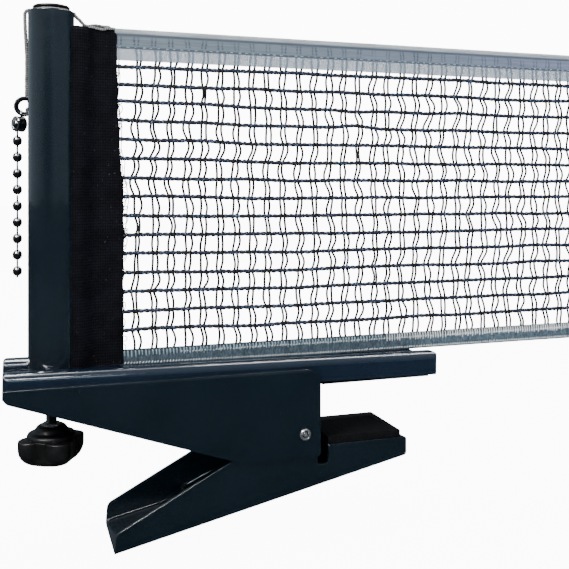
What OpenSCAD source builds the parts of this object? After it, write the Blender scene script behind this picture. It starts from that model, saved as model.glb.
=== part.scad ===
// Net clamp for a table tennis table, with the post and the end of the net.
// +X runs along the net toward the middle of the table, +Z is up and the front cheek is at -Y.
// Sub-parts are drawn with x measured from the post's axis and z from the table top.
// The whole is then moved so that the origin lies in the middle of the upper jaw's seat.

/* [Table] */
// Thickness of the table top that the jaws close on
table_t = 25; // [18:0.5:28]
// Distance from the post's axis to the table's edge
table_edge_x = 120; // [118:0.5:135]

/* [Net] */
// Height of the net from its lower edge to its upper edge
net_h = 152.5; // [120:0.5:160]
// Height of the net's lower edge above the table top
net_gap = 12.6; // [12.3:0.1:16]
// Distance from the post's axis to the far hem's outer edge
net_reach = 290; // [220:1:400]
// Distance between two horizontal cords
row_pitch = 8.7; // [7.5:0.05:12]
// Distance from the top tape's lower edge to the middle of the first cord
row_gap = 2.3; // [1:0.1:6]
// Distance between two upright threads
column_pitch = 7.9; // [7.5:0.05:12]
// Thickness of a horizontal cord
row_t = 1; // [0.6:0.1:1.5]
// Thickness of an upright thread pair
column_t = 0.9; // [0.5:0.1:1.4]
// Height of the top tape, from its rounded edge to its lower flange
tape_h = 14.4; // [10:0.1:18]
// Height of the tape's thick upper part
tape_band_h = 9; // [6:0.1:9.5]
// Thickness of the tape's thick upper part
tape_t = 1.8; // [1:0.1:2.5]
// Diameter of the rounded edge around the tape's cord
tape_bead_d = 3; // [2:0.1:3.6]
// Height of the stitched band along the net's lower edge
foot_band_h = 6.2; // [4:0.1:9]
// Thickness of the stitched band along the net's lower edge
foot_band_t = 2; // [1:0.1:2.6]
// Width of the far hem
hem_w = 4; // [3:0.5:10]

/* [Net end sleeve] */
// Distance from the post's axis to the sleeve's edge at the bottom
sleeve_reach_low = 31.7; // [26:0.1:36]
// Distance from the post's axis to the sleeve's edge at the top
sleeve_reach_top = 28.7; // [24:0.1:36]
// Thickness of the sleeve next to the post
sleeve_t_post = 12; // [8:0.5:15]
// Thickness of the sleeve where the net begins
sleeve_t_net = 3.2; // [2.6:0.1:5]
// Diameter of the rod in the sleeve
rod_d = 4; // [3:0.1:4.2]

/* [Post] */
// Outer diameter of the post
post_d = 20; // [18:0.5:20.5]
// Wall of the post
post_wall = 1.5; // [1:0.1:1.8]
// How far the post's rim stands above the net's upper edge
post_rise = 5.1; // [3:0.1:12]
// Height of the post's lower rim above the table top
post_foot = 5.6; // [5.4:0.1:7]
// Width of the slot that the net's sleeve goes through
slot_w = 5; // [4:0.1:7]
// Diameter of the cap's head
cap_d = 16; // [14:0.5:17]
// Thickness of the cap's head
cap_t = 1.3; // [1:0.1:4]

/* [Upper arm] */
// Outer width of the arm
arm_w = 40; // [38:0.5:50]
// Sheet thickness of the arm
arm_wall = 1.5; // [1:0.1:2]
// Height of the arm above the table at its post end
arm_top = 15.2; // [14.9:0.1:17]
// How far the arm's top falls toward its tip
arm_fall = 3; // [0:0.1:3.4]
// Distance from the post's axis to the arm's outer end
arm_back = 20.5; // [18:0.5:26]
// Distance from the post's axis to the arm's tip
arm_reach = 182; // [165:1:210]
// Height of the arm's sides
arm_h = 11; // [9:0.1:11.5]
// Depth of the groove that the net stands in
groove_depth = 4.5; // [4:0.1:5]
// Width of the flat strip along the top of each rail
rail_flat = 2; // [0.8:0.1:4]
// Radius of the arm's corners at its ends
arm_corner_r = 2.5; // [1.6:0.1:4]

/* [Cheeks] */
// Sheet thickness of the two cheeks
cheek_t = 1.5; // [1:0.1:2.5]
// Height of the cheeks' upper edge above the table
cheek_top = 8.6; // [6:0.1:9]
// Depth of the cheeks' lower edge below the table top
cheek_drop = 32; // [31.5:0.5:36]
// Height of the cheeks' lower outer corner above the table
cheek_heel = 3.6; // [1:0.1:4]
// Slope of the cheeks' lower edge
cheek_slope = 19; // [18:0.5:22]

/* [Pivot] */
// Distance from the pivot to the table's edge
pivot_inset = 8; // [7.8:0.1:12]
// Depth of the pivot below the table top
pivot_drop = 21.3; // [20:0.1:23]
// Diameter of the pivot pin
pin_d = 5; // [4:0.1:6]
// Diameter of the pin's head
pin_head_d = 6.8; // [6.4:0.1:9]
// Thickness of the pin's head
pin_head_t = 1.2; // [0.8:0.1:2]
// Outer diameter of the sleeve on the pin
bush_d = 8; // [7.5:0.1:9]
// Outer diameter of the washers beside the lever
washer_d = 12; // [9:0.5:14]

/* [Lever] */
// Gap between each side of the lever and its cheek
lever_gap = 1; // [0.6:0.1:3]
// Sheet thickness of the lever
lever_wall = 1.5; // [1:0.1:2]
// Distance from the post's axis to the end of the handle
handle_x = 25.6; // [22:0.5:40]
// Depth of the handle's lower corner below the table top
handle_drop = 66.6; // [64:0.1:70]
// Slope of the lever's floor
floor_slope = 11.8; // [11:0.1:12.5]
// Slope of the handle's upper edge
flange_slope = 27.3; // [26:0.1:28]
// Height of the sides at the handle's end
flange_h = 9.3; // [7:0.1:11]
// Distance from the post's axis to the lower jaw's tip
jaw_reach = 165; // [150:1:170]
// Distance from the table's edge to the lower jaw's heel
jaw_heel = 4.5; // [4:0.1:10]
// Radius of the lever's lower bends
lever_r = 2.5; // [1.8:0.1:4]

/* [Spring] */
// Diameter of the spring wire
wire_d = 2; // [1.5:0.1:2.2]
// Mean radius of the coils
coil_r = 6.2; // [5.5:0.1:6.3]
// Whole turns in each coil
coil_turns = 4; // [2:1:4]
// Length of the handle legs' first stretch, from the coils to the knee
leg_low = 28; // [24:1:30]
// Angle of that stretch below level
leg_low_angle = 28.5; // [26:0.5:30]
// Length of the handle legs' second stretch, from the knee to the bar
leg_tip = 32; // [25:1:34]
// Angle of that stretch below level
leg_tip_angle = 23.3; // [21:0.1:25]
// Length of the legs that bear on the arm
leg_up = 46; // [40:1:46]
// Angle of those legs above level
leg_up_angle = 29; // [26:0.5:29]

/* [Pads] */
// Thickness of the lower pad
jaw_pad_t = 3; // [2:0.5:4]
// How far the pads stand in from the lever's sides
pad_margin = 2; // [1.7:0.1:6]
// Length of the upper pad
seat_len = 56; // [30:1:56]

/* [Height screw] */
// Diameter of the screw
screw_d = 5; // [4:0.5:6]
// Diameter of the journal at the screw's upper end
journal_d = 4; // [3:0.1:4.4]
// Depth of the knob's upper end below the table top
knob_drop = 13.6; // [12:0.1:18]
// Width of the knob across its lobes
knob_d = 29.6; // [27:0.1:32]
// Height of the knob's lobed part
knob_h = 10.8; // [8:0.1:14]
// Width of a lobe
lobe_w = 11; // [9:0.5:12]
// Length of the plate that carries the screw's nut
bridge_len = 26; // [20:1:26]
// Thickness of that plate
bridge_t = 1.5; // [1:0.1:1.6]
// Height of the guide tube's upper end above the table top
guide_top = 40; // [25:1:40]
// Width of both nuts across their flats
nut_af = 8; // [7.5:0.1:10]

/* [Ring and chain] */
// Outer diameter of the split ring
ring_d = 8.5; // [8:0.1:11]
// Wire diameter of the split ring
ring_wire_d = 1.2; // [0.8:0.1:1.4]
// Depth of the split ring's centre below the post's rim
ring_drop = 41.3; // [36:0.1:70]
// Diameter of the pin that the ring hangs on
hook_d = 1.6; // [1.2:0.1:2]
// Diameter of the chain's balls
ball_d = 3.4; // [2.4:0.1:3.6]
// Distance between two balls
ball_pitch = 7.29; // [5:0.05:7.6]
// Diameter of the links between the balls
link_d = 0.9; // [0.6:0.1:1.2]
// Number of links in the chain's upper part
upper_count = 4; // [2:1:6]
// Number of balls in the chain's lower part
lower_count = 5; // [2:1:8]
// Diameter of the tension cord
cord_d = 1.5; // [1.2:0.1:1.8]

/* [Hidden] */
$fn = 48;

// Clearances
running = 0.08;       // between a shaft and its bore
snug = 0.04;          // between pieces fixed in each other
loose = 0.4;          // around the post and the screw where they pass through sheet metal
washer_play = 0.05;   // on each side of a washer
cord_play = 0.1;      // around the cord
far = 400;            // longer than any piece
steel = "#1e2d3a";
black = "#141416";
bright = "#b9bcc0";

// Arm
seat_from = table_edge_x + 2;
seat_x = seat_from + seat_len / 2;
arm_len = arm_back + arm_reach;
arm_tilt = atan(arm_fall / arm_len);
groove_w = post_d + 2 * loose;
rail_r = ((arm_w - groove_w) / 2 - rail_flat) / 2;
lip_x = table_edge_x - 0.3;                 // edge of the cheeks that meets the table
function arm_top_at(x) = arm_top - (x + arm_back) * tan(arm_tilt);
function ceiling_at(x) = arm_top_at(x) - groove_depth - arm_wall;

// Pivot and lever
pivot = [table_edge_x - pivot_inset, -pivot_drop];
pin_end = arm_w / 2 + cheek_t;
pin_recess_d = 2.9;
pin_recess_h = 5.2;
lever_w = arm_w - 2 * lever_gap;
lever_inner = lever_w / 2 - lever_wall;
pad_w = lever_w - 2 * pad_margin;
jaw_plate_top = -table_t - jaw_pad_t;
heel_x = table_edge_x + jaw_heel;
heel_h = 8.6;                               // depth of the notch behind the lower jaw
ear_h = 7;                                  // how far the lever's ears rise above the pivot
handle_lean = 0.8;
function floor_at(x) = -handle_drop + (x - handle_x) * tan(floor_slope);

// Post, screw and knob
bore_r = post_d / 2 - post_wall;
bridge_z = 2;
bridge_top = bridge_z + bridge_t;
weld_nut_h = 4;
lock_nut_h = 2;
guide_wall = 2;
plug_z = guide_top + 2;
plug_h = 6;
recess_h = 2.6;
clip_t = 0.8;
clip_groove = 0.4;
slot_z = plug_z + plug_h;
thread_in_knob = 12;
hub_h = 4.1;

// Sleeve
cloth_t = 1.2;
rod_play = 0.05;
rod_x = bore_r - rod_d / 2 - cloth_t - 0.5;
sleeve_shoulder_x = post_d / 2 + 3;
sleeve_thin_x = post_d / 2 + 9;

// Net
net_top = net_gap + net_h;
sleeve_top = net_top - 0.8;
loop_top = net_top - 7;
rod_top = net_top - 6;
flange_t = 1;                               // thickness of the tape's lower flange
row_top = net_top - tape_h - row_gap;
row_count = floor((row_top - row_t / 2 - net_gap - foot_band_h) / row_pitch) + 1;
first_column = sleeve_reach_low + 5.6;
column_count = floor((net_reach - hem_w - first_column) / column_pitch) + 1;

// Cap and tension cord
post_top = net_top + post_rise;
cord_r = cord_d / 2;
cap_plug_h = 5;
collar_h = 1.1;
collar_out = post_d / 2 - 2.3;
collar_in = collar_out - 0.8;
neck_r = collar_in - cord_d - 4 * cord_play;
neck_h = cord_d + 2 * cord_play;
wrap_r = neck_r + cord_r + cord_play;
wrap_from = -20;
wrap_to = -126;

// Ring and chain
hook_x = -post_d / 2 + 0.6;
hook_head_h = 0.8;
ring_z = post_top - ring_drop;
ring_mid_r = (ring_d - ring_wire_d) / 2;
ring_y = post_d / 2 - 1.4;
hook_gap = ring_mid_r - ring_wire_d / 2 - hook_d / 2 - 0.1;
hook_angle = 36;
ring_x = hook_x - hook_gap * cos(hook_angle);
hook_z = ring_z - hook_gap * sin(hook_angle);
eye_shift = 1.35;
eye_x = ring_x - eye_shift;
eye_z = ring_z - sqrt(ring_mid_r ^ 2 - eye_shift ^ 2);
eye_r = 2.25;
eye_wire_d = 0.9;
barrel_d = 6.4;
barrel_len = 6;
barrel_wall = 0.8;
barrel_x = eye_x - 1;
barrel_z = ring_z - ring_d / 2 - barrel_d / 2 - 0.5;
ball_x = barrel_x - 0.6;

// ---- helpers ----

function unit(v) = v / norm(v);

// Points of the arc that rounds corner b of the path a, b, c
function corner_arc(a, b, c, r, n = 8) =
    let (u = unit(a - b), v = unit(c - b), half = acos(u * v) / 2)
    let (mid = b + unit(u + v) * r / sin(half), from = b + u * r / tan(half) - mid)
    let (to = b + v * r / tan(half) - mid, start = atan2(from.y, from.x))
    let (turn = (atan2(to.y, to.x) - start + 540) % 360 - 180)
    [for (i = [0:n]) mid + r * [cos(start + turn * i / n), sin(start + turn * i / n)]];

// Outline through [x, y, radius] corners; radius 0 keeps a sharp corner
function rounded(pts) = let (n = len(pts), at = function (i) [pts[i % n].x, pts[i % n].y])
    [for (i = [0:n - 1]) each pts[i].z == 0
        ? [at(i)]
        : corner_arc(at(i + n - 1), at(i), at(i + 1), pts[i].z)];

// Extrudes an x, z outline across the width from y0 to y1
module across(y0, y1) {
    translate([0, y1, 0]) rotate([90, 0, 0]) linear_extrude(y1 - y0) children();
}

// Cylinder along Y
module y_rod(x, z, r, y0, y1) {
    across(y0, y1) translate([x, z]) circle(r);
}

function tangent(p, i) = unit(p[min(i + 1, len(p) - 1)] - p[max(i - 1, 0)]);
function carried(p, i, side) = i == len(p) ? [] :
    let (t = tangent(p, i), n = unit(side - (side * t) * t)) concat([n], carried(p, i + 1, n));

// Round bar of radius r along a path
module swept(path, r, side, sides = 8) {
    normals = carried(path, 0, side);
    last = len(path) - 1;
    points = [for (i = [0:last]) let (n = normals[i], b = cross(tangent(path, i), n))
        for (k = [0:sides - 1]) path[i] + r * (cos(360 * k / sides) * n + sin(360 * k / sides) * b)];
    walls = [for (i = [0:last - 1], k = [0:sides - 1])
        let (a = i * sides + k, b = i * sides + (k + 1) % sides)
        each [[a, a + sides, b], [b, a + sides, b + sides]]];
    start = [for (k = [0:sides - 1]) k];
    end = [for (k = [sides - 1:-1:0]) last * sides + k];
    polyhedron(points, concat(walls, [start, end]));
}

// ---- upper arm and what is fixed to it ----

// Section of the arm seen along the net, with z measured from the rails' top
module arm_section(inset) {
    half = arm_w / 2 - inset;
    groove = groove_w / 2 + inset;
    r = rail_r - inset;
    floor_z = -groove_depth - inset;
    low_z = inset > 0 ? -far / 4 : -arm_h;
    translate([-half, low_z]) square([2 * half, floor_z - low_z]);
    for (side = [-1, 1]) {
        low = side < 0 ? -half : groove;
        width = half - groove;
        translate([low, floor_z - 1]) square([width, 1 + groove_depth - r]);
        translate([low + r, floor_z - 1]) square([width - 2 * r, 1 + groove_depth]);
        for (x = [low + r, low + width - r]) translate([x, -inset - r]) circle(r);
    }
}

module rounded_box_2d(x0, x1, y0, y1, r) {
    translate([x0 + r, y0]) square([x1 - x0 - 2 * r, y1 - y0]);
    translate([x0, y0 + r]) square([x1 - x0, y1 - y0 - 2 * r]);
    for (x = [x0 + r, x1 - r], y = [y0 + r, y1 - r]) translate([x, y]) circle(r);
}

module arm_solid(inset) {
    half = arm_w / 2 - inset;
    r = arm_corner_r - (inset > 0 ? arm_wall : 0);
    translate([-arm_back, 0, arm_top]) rotate([0, arm_tilt, 0]) intersection() {
        rotate([90, 0, 90]) linear_extrude(arm_len) arm_section(inset);
        across(-half, half) rounded_box_2d(inset, arm_len - inset, -far / 8, -inset, r);
        translate([0, 0, -far / 8]) linear_extrude(far / 4)
            rounded_box_2d(inset, arm_len - inset, -half, half, r);
    }
}

module upper_arm() {
    color(steel) difference() {
        arm_solid(0);
        arm_solid(arm_wall);
        cylinder(r = post_d / 2 + loose, h = arm_top);
    }
}

module cheek_outline() {
    corner_x = (cheek_drop + cheek_heel) / tan(cheek_slope) - arm_back;
    polygon(rounded([
        [-arm_back, cheek_top, 1],
        [-arm_back, cheek_heel, 4],
        [corner_x, -cheek_drop, 10],
        [lip_x, -cheek_drop, 1.5],
        [lip_x, cheek_top, 7]
    ]));
}

module cheek(side) {
    inner = side * arm_w / 2;
    outer = inner + side * cheek_t;
    color(steel) difference() {
        across(min(inner, outer), max(inner, outer)) cheek_outline();
        y_rod(pivot.x, pivot.y, pin_d / 2 + snug, -far, far);
    }
}

module front_cheek() { cheek(-1); }

module rear_cheek() { cheek(1); }

module seat_pad() {
    to = seat_from + seat_len;
    color("#202226") across(-pad_w / 2, pad_w / 2) polygon([
        [seat_from, 0], [to, 0], [to, ceiling_at(to) - snug], [seat_from, ceiling_at(seat_from) - snug]
    ]);
}

module bridge_plate() {
    half = arm_w / 2 - snug;
    color(steel) difference() {
        translate([-bridge_len / 2, -half, bridge_z]) cube([bridge_len, 2 * half, bridge_t]);
        cylinder(r = screw_d / 2 + loose, h = far, center = true);
    }
}

module hex_nut(h, bore) {
    difference() {
        cylinder(r = nut_af / sqrt(3), h = h, $fn = 6);
        translate([0, 0, -1]) cylinder(r = bore, h = h + 2);
    }
}

module weld_nut() {
    color(bright) translate([0, 0, bridge_top]) hex_nut(weld_nut_h, screw_d / 2 + running);
}

module post_guide() {
    outer = bore_r - running;
    color(bright) translate([0, 0, bridge_top]) difference() {
        cylinder(r = outer, h = guide_top - bridge_top);
        translate([0, 0, -1]) cylinder(r = outer - guide_wall, h = far);
    }
}

// ---- pivot ----

module pivot_pin() {
    color(bright) difference() {
        union() {
            y_rod(pivot.x, pivot.y, pin_d / 2, -pin_end, pin_end + pin_head_t);
            y_rod(pivot.x, pivot.y, pin_head_d / 2, -pin_end - pin_head_t, -pin_end);
        }
        y_rod(pivot.x, pivot.y, pin_recess_d / 2, -far, pin_recess_h - pin_head_t - pin_end);
    }
}

module pivot_cap() {
    color(bright) difference() {
        y_rod(pivot.x, pivot.y, pin_head_d / 2 + 0.6, pin_end, pin_end + pin_head_t);
        y_rod(pivot.x, pivot.y, pin_d / 2 + snug, -far, far);
    }
}

module pivot_washers() {
    half_t = lever_gap / 2 - washer_play;
    color("#d8d8d2") for (side = [-1, 1]) {
        mid = side * (lever_w + lever_gap) / 2;
        difference() {
            y_rod(pivot.x, pivot.y, washer_d / 2, mid - half_t, mid + half_t);
            y_rod(pivot.x, pivot.y, pin_d / 2 + running, -far, far);
        }
    }
}

module pivot_bush() {
    half = lever_inner - 0.1;
    color(bright) difference() {
        y_rod(pivot.x, pivot.y, bush_d / 2, -half, half);
        y_rod(pivot.x, pivot.y, pin_d / 2 + running, -far, far);
    }
}

// Torsion spring: two coils on the bush, joined by one long U that presses on the handle
coil_out = lever_inner - wire_d / 2 - 1;
coil_pitch = wire_d + 0.15;
function coil_point(angle, y) = [pivot.x + coil_r * cos(angle), y, pivot.y + coil_r * sin(angle)];
leg_up_start = 90 - leg_up_angle;
leg_low_start = leg_low_angle - 90;
coil_turn = 360 * coil_turns + leg_up_start - leg_low_start;
coil_in = coil_out - coil_pitch * coil_turn / 360;
coil_steps = coil_turns * 18 + 6;
function knee(y) = coil_point(leg_low_start, y) - leg_low * [cos(leg_low_angle), 0, sin(leg_low_angle)];
function low_leg_end(y, short) = knee(y)
    - (leg_tip - short) * [cos(leg_tip_angle), 0, sin(leg_tip_angle)];
bar_r = 4;
function half_spring(side) = concat(
    [coil_point(leg_up_start, side * coil_in)
        + leg_up * [-cos(leg_up_angle), 0, sin(leg_up_angle)]],
    [for (i = [0:coil_steps]) let (done = i / coil_steps)
        coil_point(leg_up_start - coil_turn * done, side * (coil_in + (coil_out - coil_in) * done))],
    [knee(side * coil_out)],
    [for (a = [0:15:75])
        low_leg_end(side * (coil_out - bar_r * (1 - cos(a))), bar_r * (1 - sin(a)))]
);
function reversed(p) = [for (i = [len(p) - 1:-1:0]) p[i]];

module torsion_spring() {
    color("#33373b")
        swept(concat(half_spring(-1), reversed(half_spring(1))), wire_d / 2, [0, 1, 0]);
}

// ---- lever ----

module lever_outline() {
    handle_top = -handle_drop + flange_h;
    top_x = handle_x + handle_lean;
    ear_x = lip_x - 0.7;
    ear_from = pivot.x - 2;
    ear_top = min(handle_top + (ear_from - top_x) * tan(flange_slope), pivot.y + ear_h);
    polygon(rounded([
        [handle_x, -handle_drop, 0],
        [jaw_reach, floor_at(jaw_reach), 2],
        [jaw_reach, jaw_plate_top, 1],
        [heel_x, jaw_plate_top, 1],
        [heel_x, jaw_plate_top - heel_h, 1.5],
        [ear_x, jaw_plate_top - heel_h, 1.5],
        [ear_x, ear_top, 6],
        [ear_from, ear_top, 6],
        [top_x, handle_top, 4]
    ]));
}

module channel_section(inset) {
    half = lever_w / 2 - inset;
    r = lever_r - inset;
    translate([-half, r + inset]) square([2 * half, far / 4]);
    translate([-half + r, inset]) square([2 * (half - r), far / 4]);
    for (x = [r - half, half - r]) translate([x, r + inset]) circle(r);
}

module channel(inset) {
    translate([handle_x, 0, -handle_drop]) rotate([0, -floor_slope, 0]) translate([-far / 4, 0, 0])
        rotate([90, 0, 90]) linear_extrude(far) channel_section(inset);
}

bar_mid = low_leg_end(0, 0);

module spring_tabs() {
    size = [5, 4];
    low = floor_at(bar_mid.x) + lever_wall / 2;
    tab_top = bar_mid.z - wire_d / 2 - 0.1;
    for (y = [-8, 8]) translate([bar_mid.x - size.x / 2, y - size.y / 2, low])
        cube([size.x, size.y, tab_top - low]);
}

module jaw_lever() {
    color(steel) difference() {
        union() {
            intersection() {
                difference() {
                    channel(0);
                    channel(lever_wall);
                }
                across(-lever_w / 2, lever_w / 2) lever_outline();
            }
            translate([heel_x, -lever_w / 2 + lever_wall / 2, jaw_plate_top - lever_wall])
                cube([jaw_reach - heel_x - 1, lever_w - lever_wall, lever_wall]);
            spring_tabs();
        }
        y_rod(pivot.x, pivot.y, pin_d / 2 + running, -far, far);
    }
}

module jaw_pad() {
    color("#202226") translate([heel_x + 0.5, -pad_w / 2, jaw_plate_top])
        cube([jaw_reach - heel_x - 3, pad_w, jaw_pad_t]);
}

// ---- post ----

module post_tube() {
    color(steel) difference() {
        translate([0, 0, post_foot]) cylinder(r = post_d / 2, h = post_top - post_foot);
        cylinder(r = bore_r, h = far);
        translate([0, -slot_w / 2, slot_z]) cube([post_d, slot_w, far]);
        y_rod(hook_x, hook_z, hook_d / 2 + snug, 0, post_d);
    }
}

// Slot that lets the cord in or out of the cap's neck
module cord_slot(angle, side) {
    rotate(angle) translate([wrap_r - cord_r - cord_play, side < 0 ? -post_d : 0, 0])
        cube([cord_d + 2 * cord_play, post_d, neck_h]);
}

module post_cap() {
    head = cap_d / 2;
    top = neck_h + cap_t;
    color(black) translate([0, 0, post_top]) difference() {
        rotate_extrude() polygon(concat(
            [[0, -cap_plug_h], [bore_r - snug, -cap_plug_h], [bore_r - snug, 0], [post_d / 2, 0],
                [collar_out, collar_h], [collar_in, collar_h], [collar_in, 0], [neck_r, 0],
                [neck_r, neck_h], [head, neck_h]],
            corner_arc([head, 0], [head, top], [0, top], cap_t * 0.6),
            [[0, top]]
        ));
        cord_slot(wrap_from, 1);
        cord_slot(wrap_to, -1);
    }
}

module post_plug() {
    color(bright) translate([0, 0, plug_z]) difference() {
        cylinder(r = bore_r - snug, h = plug_h);
        translate([0, 0, -1]) cylinder(r = journal_d / 2 + running, h = plug_h);
        translate([0, 0, plug_h - recess_h]) cylinder(r = journal_d / 2 + 2.5, h = plug_h);
    }
}

module ring_hook() {
    wall_y = sqrt((post_d / 2) ^ 2 - hook_x ^ 2);
    head_y = ring_y + ring_wire_d + 0.4;
    color(bright) {
        y_rod(hook_x, hook_z, hook_d / 2, wall_y - post_wall, head_y);
        y_rod(hook_x, hook_z, hook_d / 2 + 0.7, head_y, head_y + hook_head_h);
    }
}

module split_ring() {
    color("#2a2c2f") translate([ring_x, ring_y, ring_z]) rotate([90, 0, 0]) rotate_extrude()
        for (z = [-0.5, 0.5]) translate([ring_mid_r, z * ring_wire_d * 0.85]) circle(ring_wire_d / 2);
}

// Where the cord's straight run from the neck crosses the post's rim
function rim_point(angle, side) = let (run = side * sqrt((post_d / 2) ^ 2 - wrap_r ^ 2))
    [wrap_r * cos(angle) - run * sin(angle), wrap_r * sin(angle) + run * cos(angle)];
function over_rim(p, tilt) = let (lift = cord_r + cord_play, q = p + unit(p) * lift * cos(tilt))
    [q.x, q.y, post_top + lift * sin(tilt)];

// From the top tape around the cap's neck and down to the split ring
function cord_route() = concat(
    [
        [sleeve_reach_top + 1, 0, net_top + cord_r],
        [22, 0, net_top + cord_r + 0.3],
        [15, 2.5, net_top + cord_r + 1]
    ],
    [for (tilt = [0, 45, 90]) over_rim(rim_point(wrap_from, 1), tilt)],
    [for (a = [wrap_from:-15:wrap_to])
        [wrap_r * cos(a), wrap_r * sin(a), post_top + cord_r + cord_play]],
    [for (tilt = [90, 45, 0]) over_rim(rim_point(wrap_to, -1), tilt)],
    [
        [-post_d / 2 - cord_r - 0.15, 0.6, post_top - 6],
        [ring_x, ring_y - 1.2, ring_z + ring_d / 2 + 6],
        [ring_x, ring_y, ring_z + ring_d / 2 + 0.1]
    ]
);

module tension_cord() {
    color("#e8e6df") swept(cord_route(), cord_r, [0, 1, 0]);
}

// ---- net ----

module sleeve_side() {
    polygon([
        [0, net_gap], [sleeve_reach_low, net_gap],
        [sleeve_reach_top, sleeve_top], [0, sleeve_top]
    ]);
}

function sleeve_edge_at(z) = sleeve_reach_low
    + (sleeve_reach_top - sleeve_reach_low) * (z - net_gap) / (sleeve_top - net_gap);

module end_sleeve() {
    inside = rod_d / 2 + rod_play;
    loop_z = slot_z + 2;
    loop_h = loop_top - loop_z;
    thick = sleeve_t_post / 2;
    thin = sleeve_t_net / 2;
    color("#0d0d10") {
        difference() {
            intersection() {
                linear_extrude(far) polygon([
                    [0, -thick], [sleeve_shoulder_x, -thick], [sleeve_thin_x, -thin], [far, -thin],
                    [far, thin], [sleeve_thin_x, thin], [sleeve_shoulder_x, thick], [0, thick]
                ]);
                across(-post_d, post_d) sleeve_side();
            }
            cylinder(r = post_d / 2 + snug, h = far);
        }
        translate([rod_x, 0, loop_z]) difference() {
            union() {
                translate([0, -cloth_t, 0]) cube([post_d / 2 + 1 - rod_x, 2 * cloth_t, loop_h]);
                cylinder(r = inside + cloth_t, h = loop_h);
            }
            cylinder(r = inside, h = far, center = true);
        }
    }
}

module net_rod() {
    color(bright) translate([rod_x, 0, slot_z]) cylinder(r = rod_d / 2, h = rod_top - slot_z);
}

// Net from the sleeve's slanted edge to the far hem
module behind_sleeve() {
    difference() {
        children();
        across(-post_d, post_d) sleeve_side();
    }
}

module top_tape() {
    bead_z = net_top - tape_bead_d / 2;
    color("#8c99a6") behind_sleeve() translate([post_d, 0, 0]) rotate([90, 0, 90])
        linear_extrude(net_reach - hem_w - post_d) {
            translate([0, bead_z]) circle(tape_bead_d / 2);
            translate([-tape_t / 2, net_top - tape_band_h]) square([tape_t, tape_band_h - tape_bead_d / 2]);
            translate([-flange_t / 2, net_top - tape_h]) square([flange_t, tape_h - tape_bead_d / 2]);
        }
}

// Rows in the net's plane, with the upright threads lying on their back from tape to foot band
module net_mesh() {
    low = net_gap + foot_band_h;
    end = net_reach - hem_w;
    back = row_t / 2 + 0.05;
    color("#1d2536") {
        across(-row_t / 2, row_t / 2) for (i = [0:row_count - 1])
            let (z = row_top - i * row_pitch, start = sleeve_edge_at(z) + 0.05)
            translate([start, z - row_t / 2]) square([end - start, row_t]);
        across(back, back + column_t / 2) for (i = [0:column_count - 1])
            translate([first_column + i * column_pitch - column_t / 2, low])
                square([column_t, net_top - tape_band_h - low]);
    }
}

module foot_band() {
    color("#51687a") behind_sleeve() translate([post_d, 0, 0]) rotate([90, 0, 90])
        linear_extrude(net_reach - hem_w - post_d) {
            edge_r = foot_band_t / 2;
            translate([-edge_r, net_gap + edge_r]) square([foot_band_t, foot_band_h - edge_r]);
            translate([0, net_gap + edge_r]) circle(edge_r);
        }
}

module far_hem() {
    color("#d9dcdd") translate([net_reach - hem_w, -tape_t / 2, net_gap])
        cube([hem_w, tape_t, net_h]);
}

// ---- height screw and knob ----

module height_screw() {
    clip_z = plug_z + plug_h - recess_h + running;
    tip = knob_drop + thread_in_knob;
    color(bright) difference() {
        union() {
            translate([0, 0, -tip]) cylinder(r = screw_d / 2, h = tip + plug_z - running);
            cylinder(r = journal_d / 2, h = clip_z + 2 * clip_t);
        }
        translate([0, 0, clip_z - snug]) difference() {
            cylinder(r = screw_d, h = clip_t + 2 * snug);
            cylinder(r = journal_d / 2 - clip_groove, h = far, center = true);
        }
    }
}

module screw_clip() {
    mouth = journal_d - 1;
    color("#2a2c2f") translate([0, 0, plug_z + plug_h - recess_h + running]) difference() {
        cylinder(r = journal_d / 2 + 1.8, h = clip_t);
        cylinder(r = journal_d / 2 - clip_groove + snug, h = far, center = true);
        translate([0, -mouth / 2, -1]) cube([far, mouth, clip_t + 2]);
    }
}

module lock_nut() {
    color(bright) translate([0, 0, -knob_drop]) hex_nut(lock_nut_h, screw_d / 2 + snug);
}

module knob_plan() {
    reach = knob_d / 2 - lobe_w / 2;
    circle(knob_d * 0.36);
    for (a = [18:90:288]) rotate(a) {
        translate([0, -lobe_w / 2]) square([reach, lobe_w]);
        translate([reach, 0]) circle(lobe_w / 2);
    }
}

module adjust_knob() {
    low = -hub_h - knob_h;
    color(black) translate([0, 0, -knob_drop]) difference() {
        union() {
            rotate_extrude() polygon([
                [0, 0], [5.2, 0], [7.2, -0.9], [7.6, -1.4], [9.6, -1.9], [10.4, -2.7], [10.6, -3.6],
                [10.6, -hub_h - 1], [0, -hub_h - 1]
            ]);
            intersection() {
                translate([0, 0, low]) linear_extrude(knob_h) knob_plan();
                rotate_extrude() polygon(rounded([
                    [0, -hub_h, 0], [knob_d / 2 + 1, -hub_h, 1.5], [knob_d / 2, low, 7], [0, low, 0]
                ]));
            }
        }
        translate([0, 0, -thread_in_knob - snug]) cylinder(r = screw_d / 2 + snug, h = far);
    }
}

// ---- ring's chain ----

module chain_connector() {
    mouth = 2 * link_d;
    color("#2a2c2f") translate([0, ring_y, 0]) difference() {
        union() {
            translate([barrel_x - barrel_len / 2, 0, barrel_z]) rotate([0, 90, 0])
                cylinder(r = barrel_d / 2, h = barrel_len);
            translate([eye_x, 0, eye_z - 0.65]) rotate([0, 90, 0]) rotate_extrude()
                translate([eye_r, 0]) circle(eye_wire_d / 2);
        }
        translate([barrel_x - barrel_len, 0, barrel_z]) rotate([0, 90, 0])
            cylinder(r = barrel_d / 2 - barrel_wall, h = 1.5 * barrel_len - barrel_wall);
        translate([barrel_x - barrel_len, -mouth / 2, barrel_z - barrel_d])
            cube([1.2 * barrel_len, mouth, barrel_d]);
    }
}

function ball_z(i) = barrel_z - i * ball_pitch;

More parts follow.
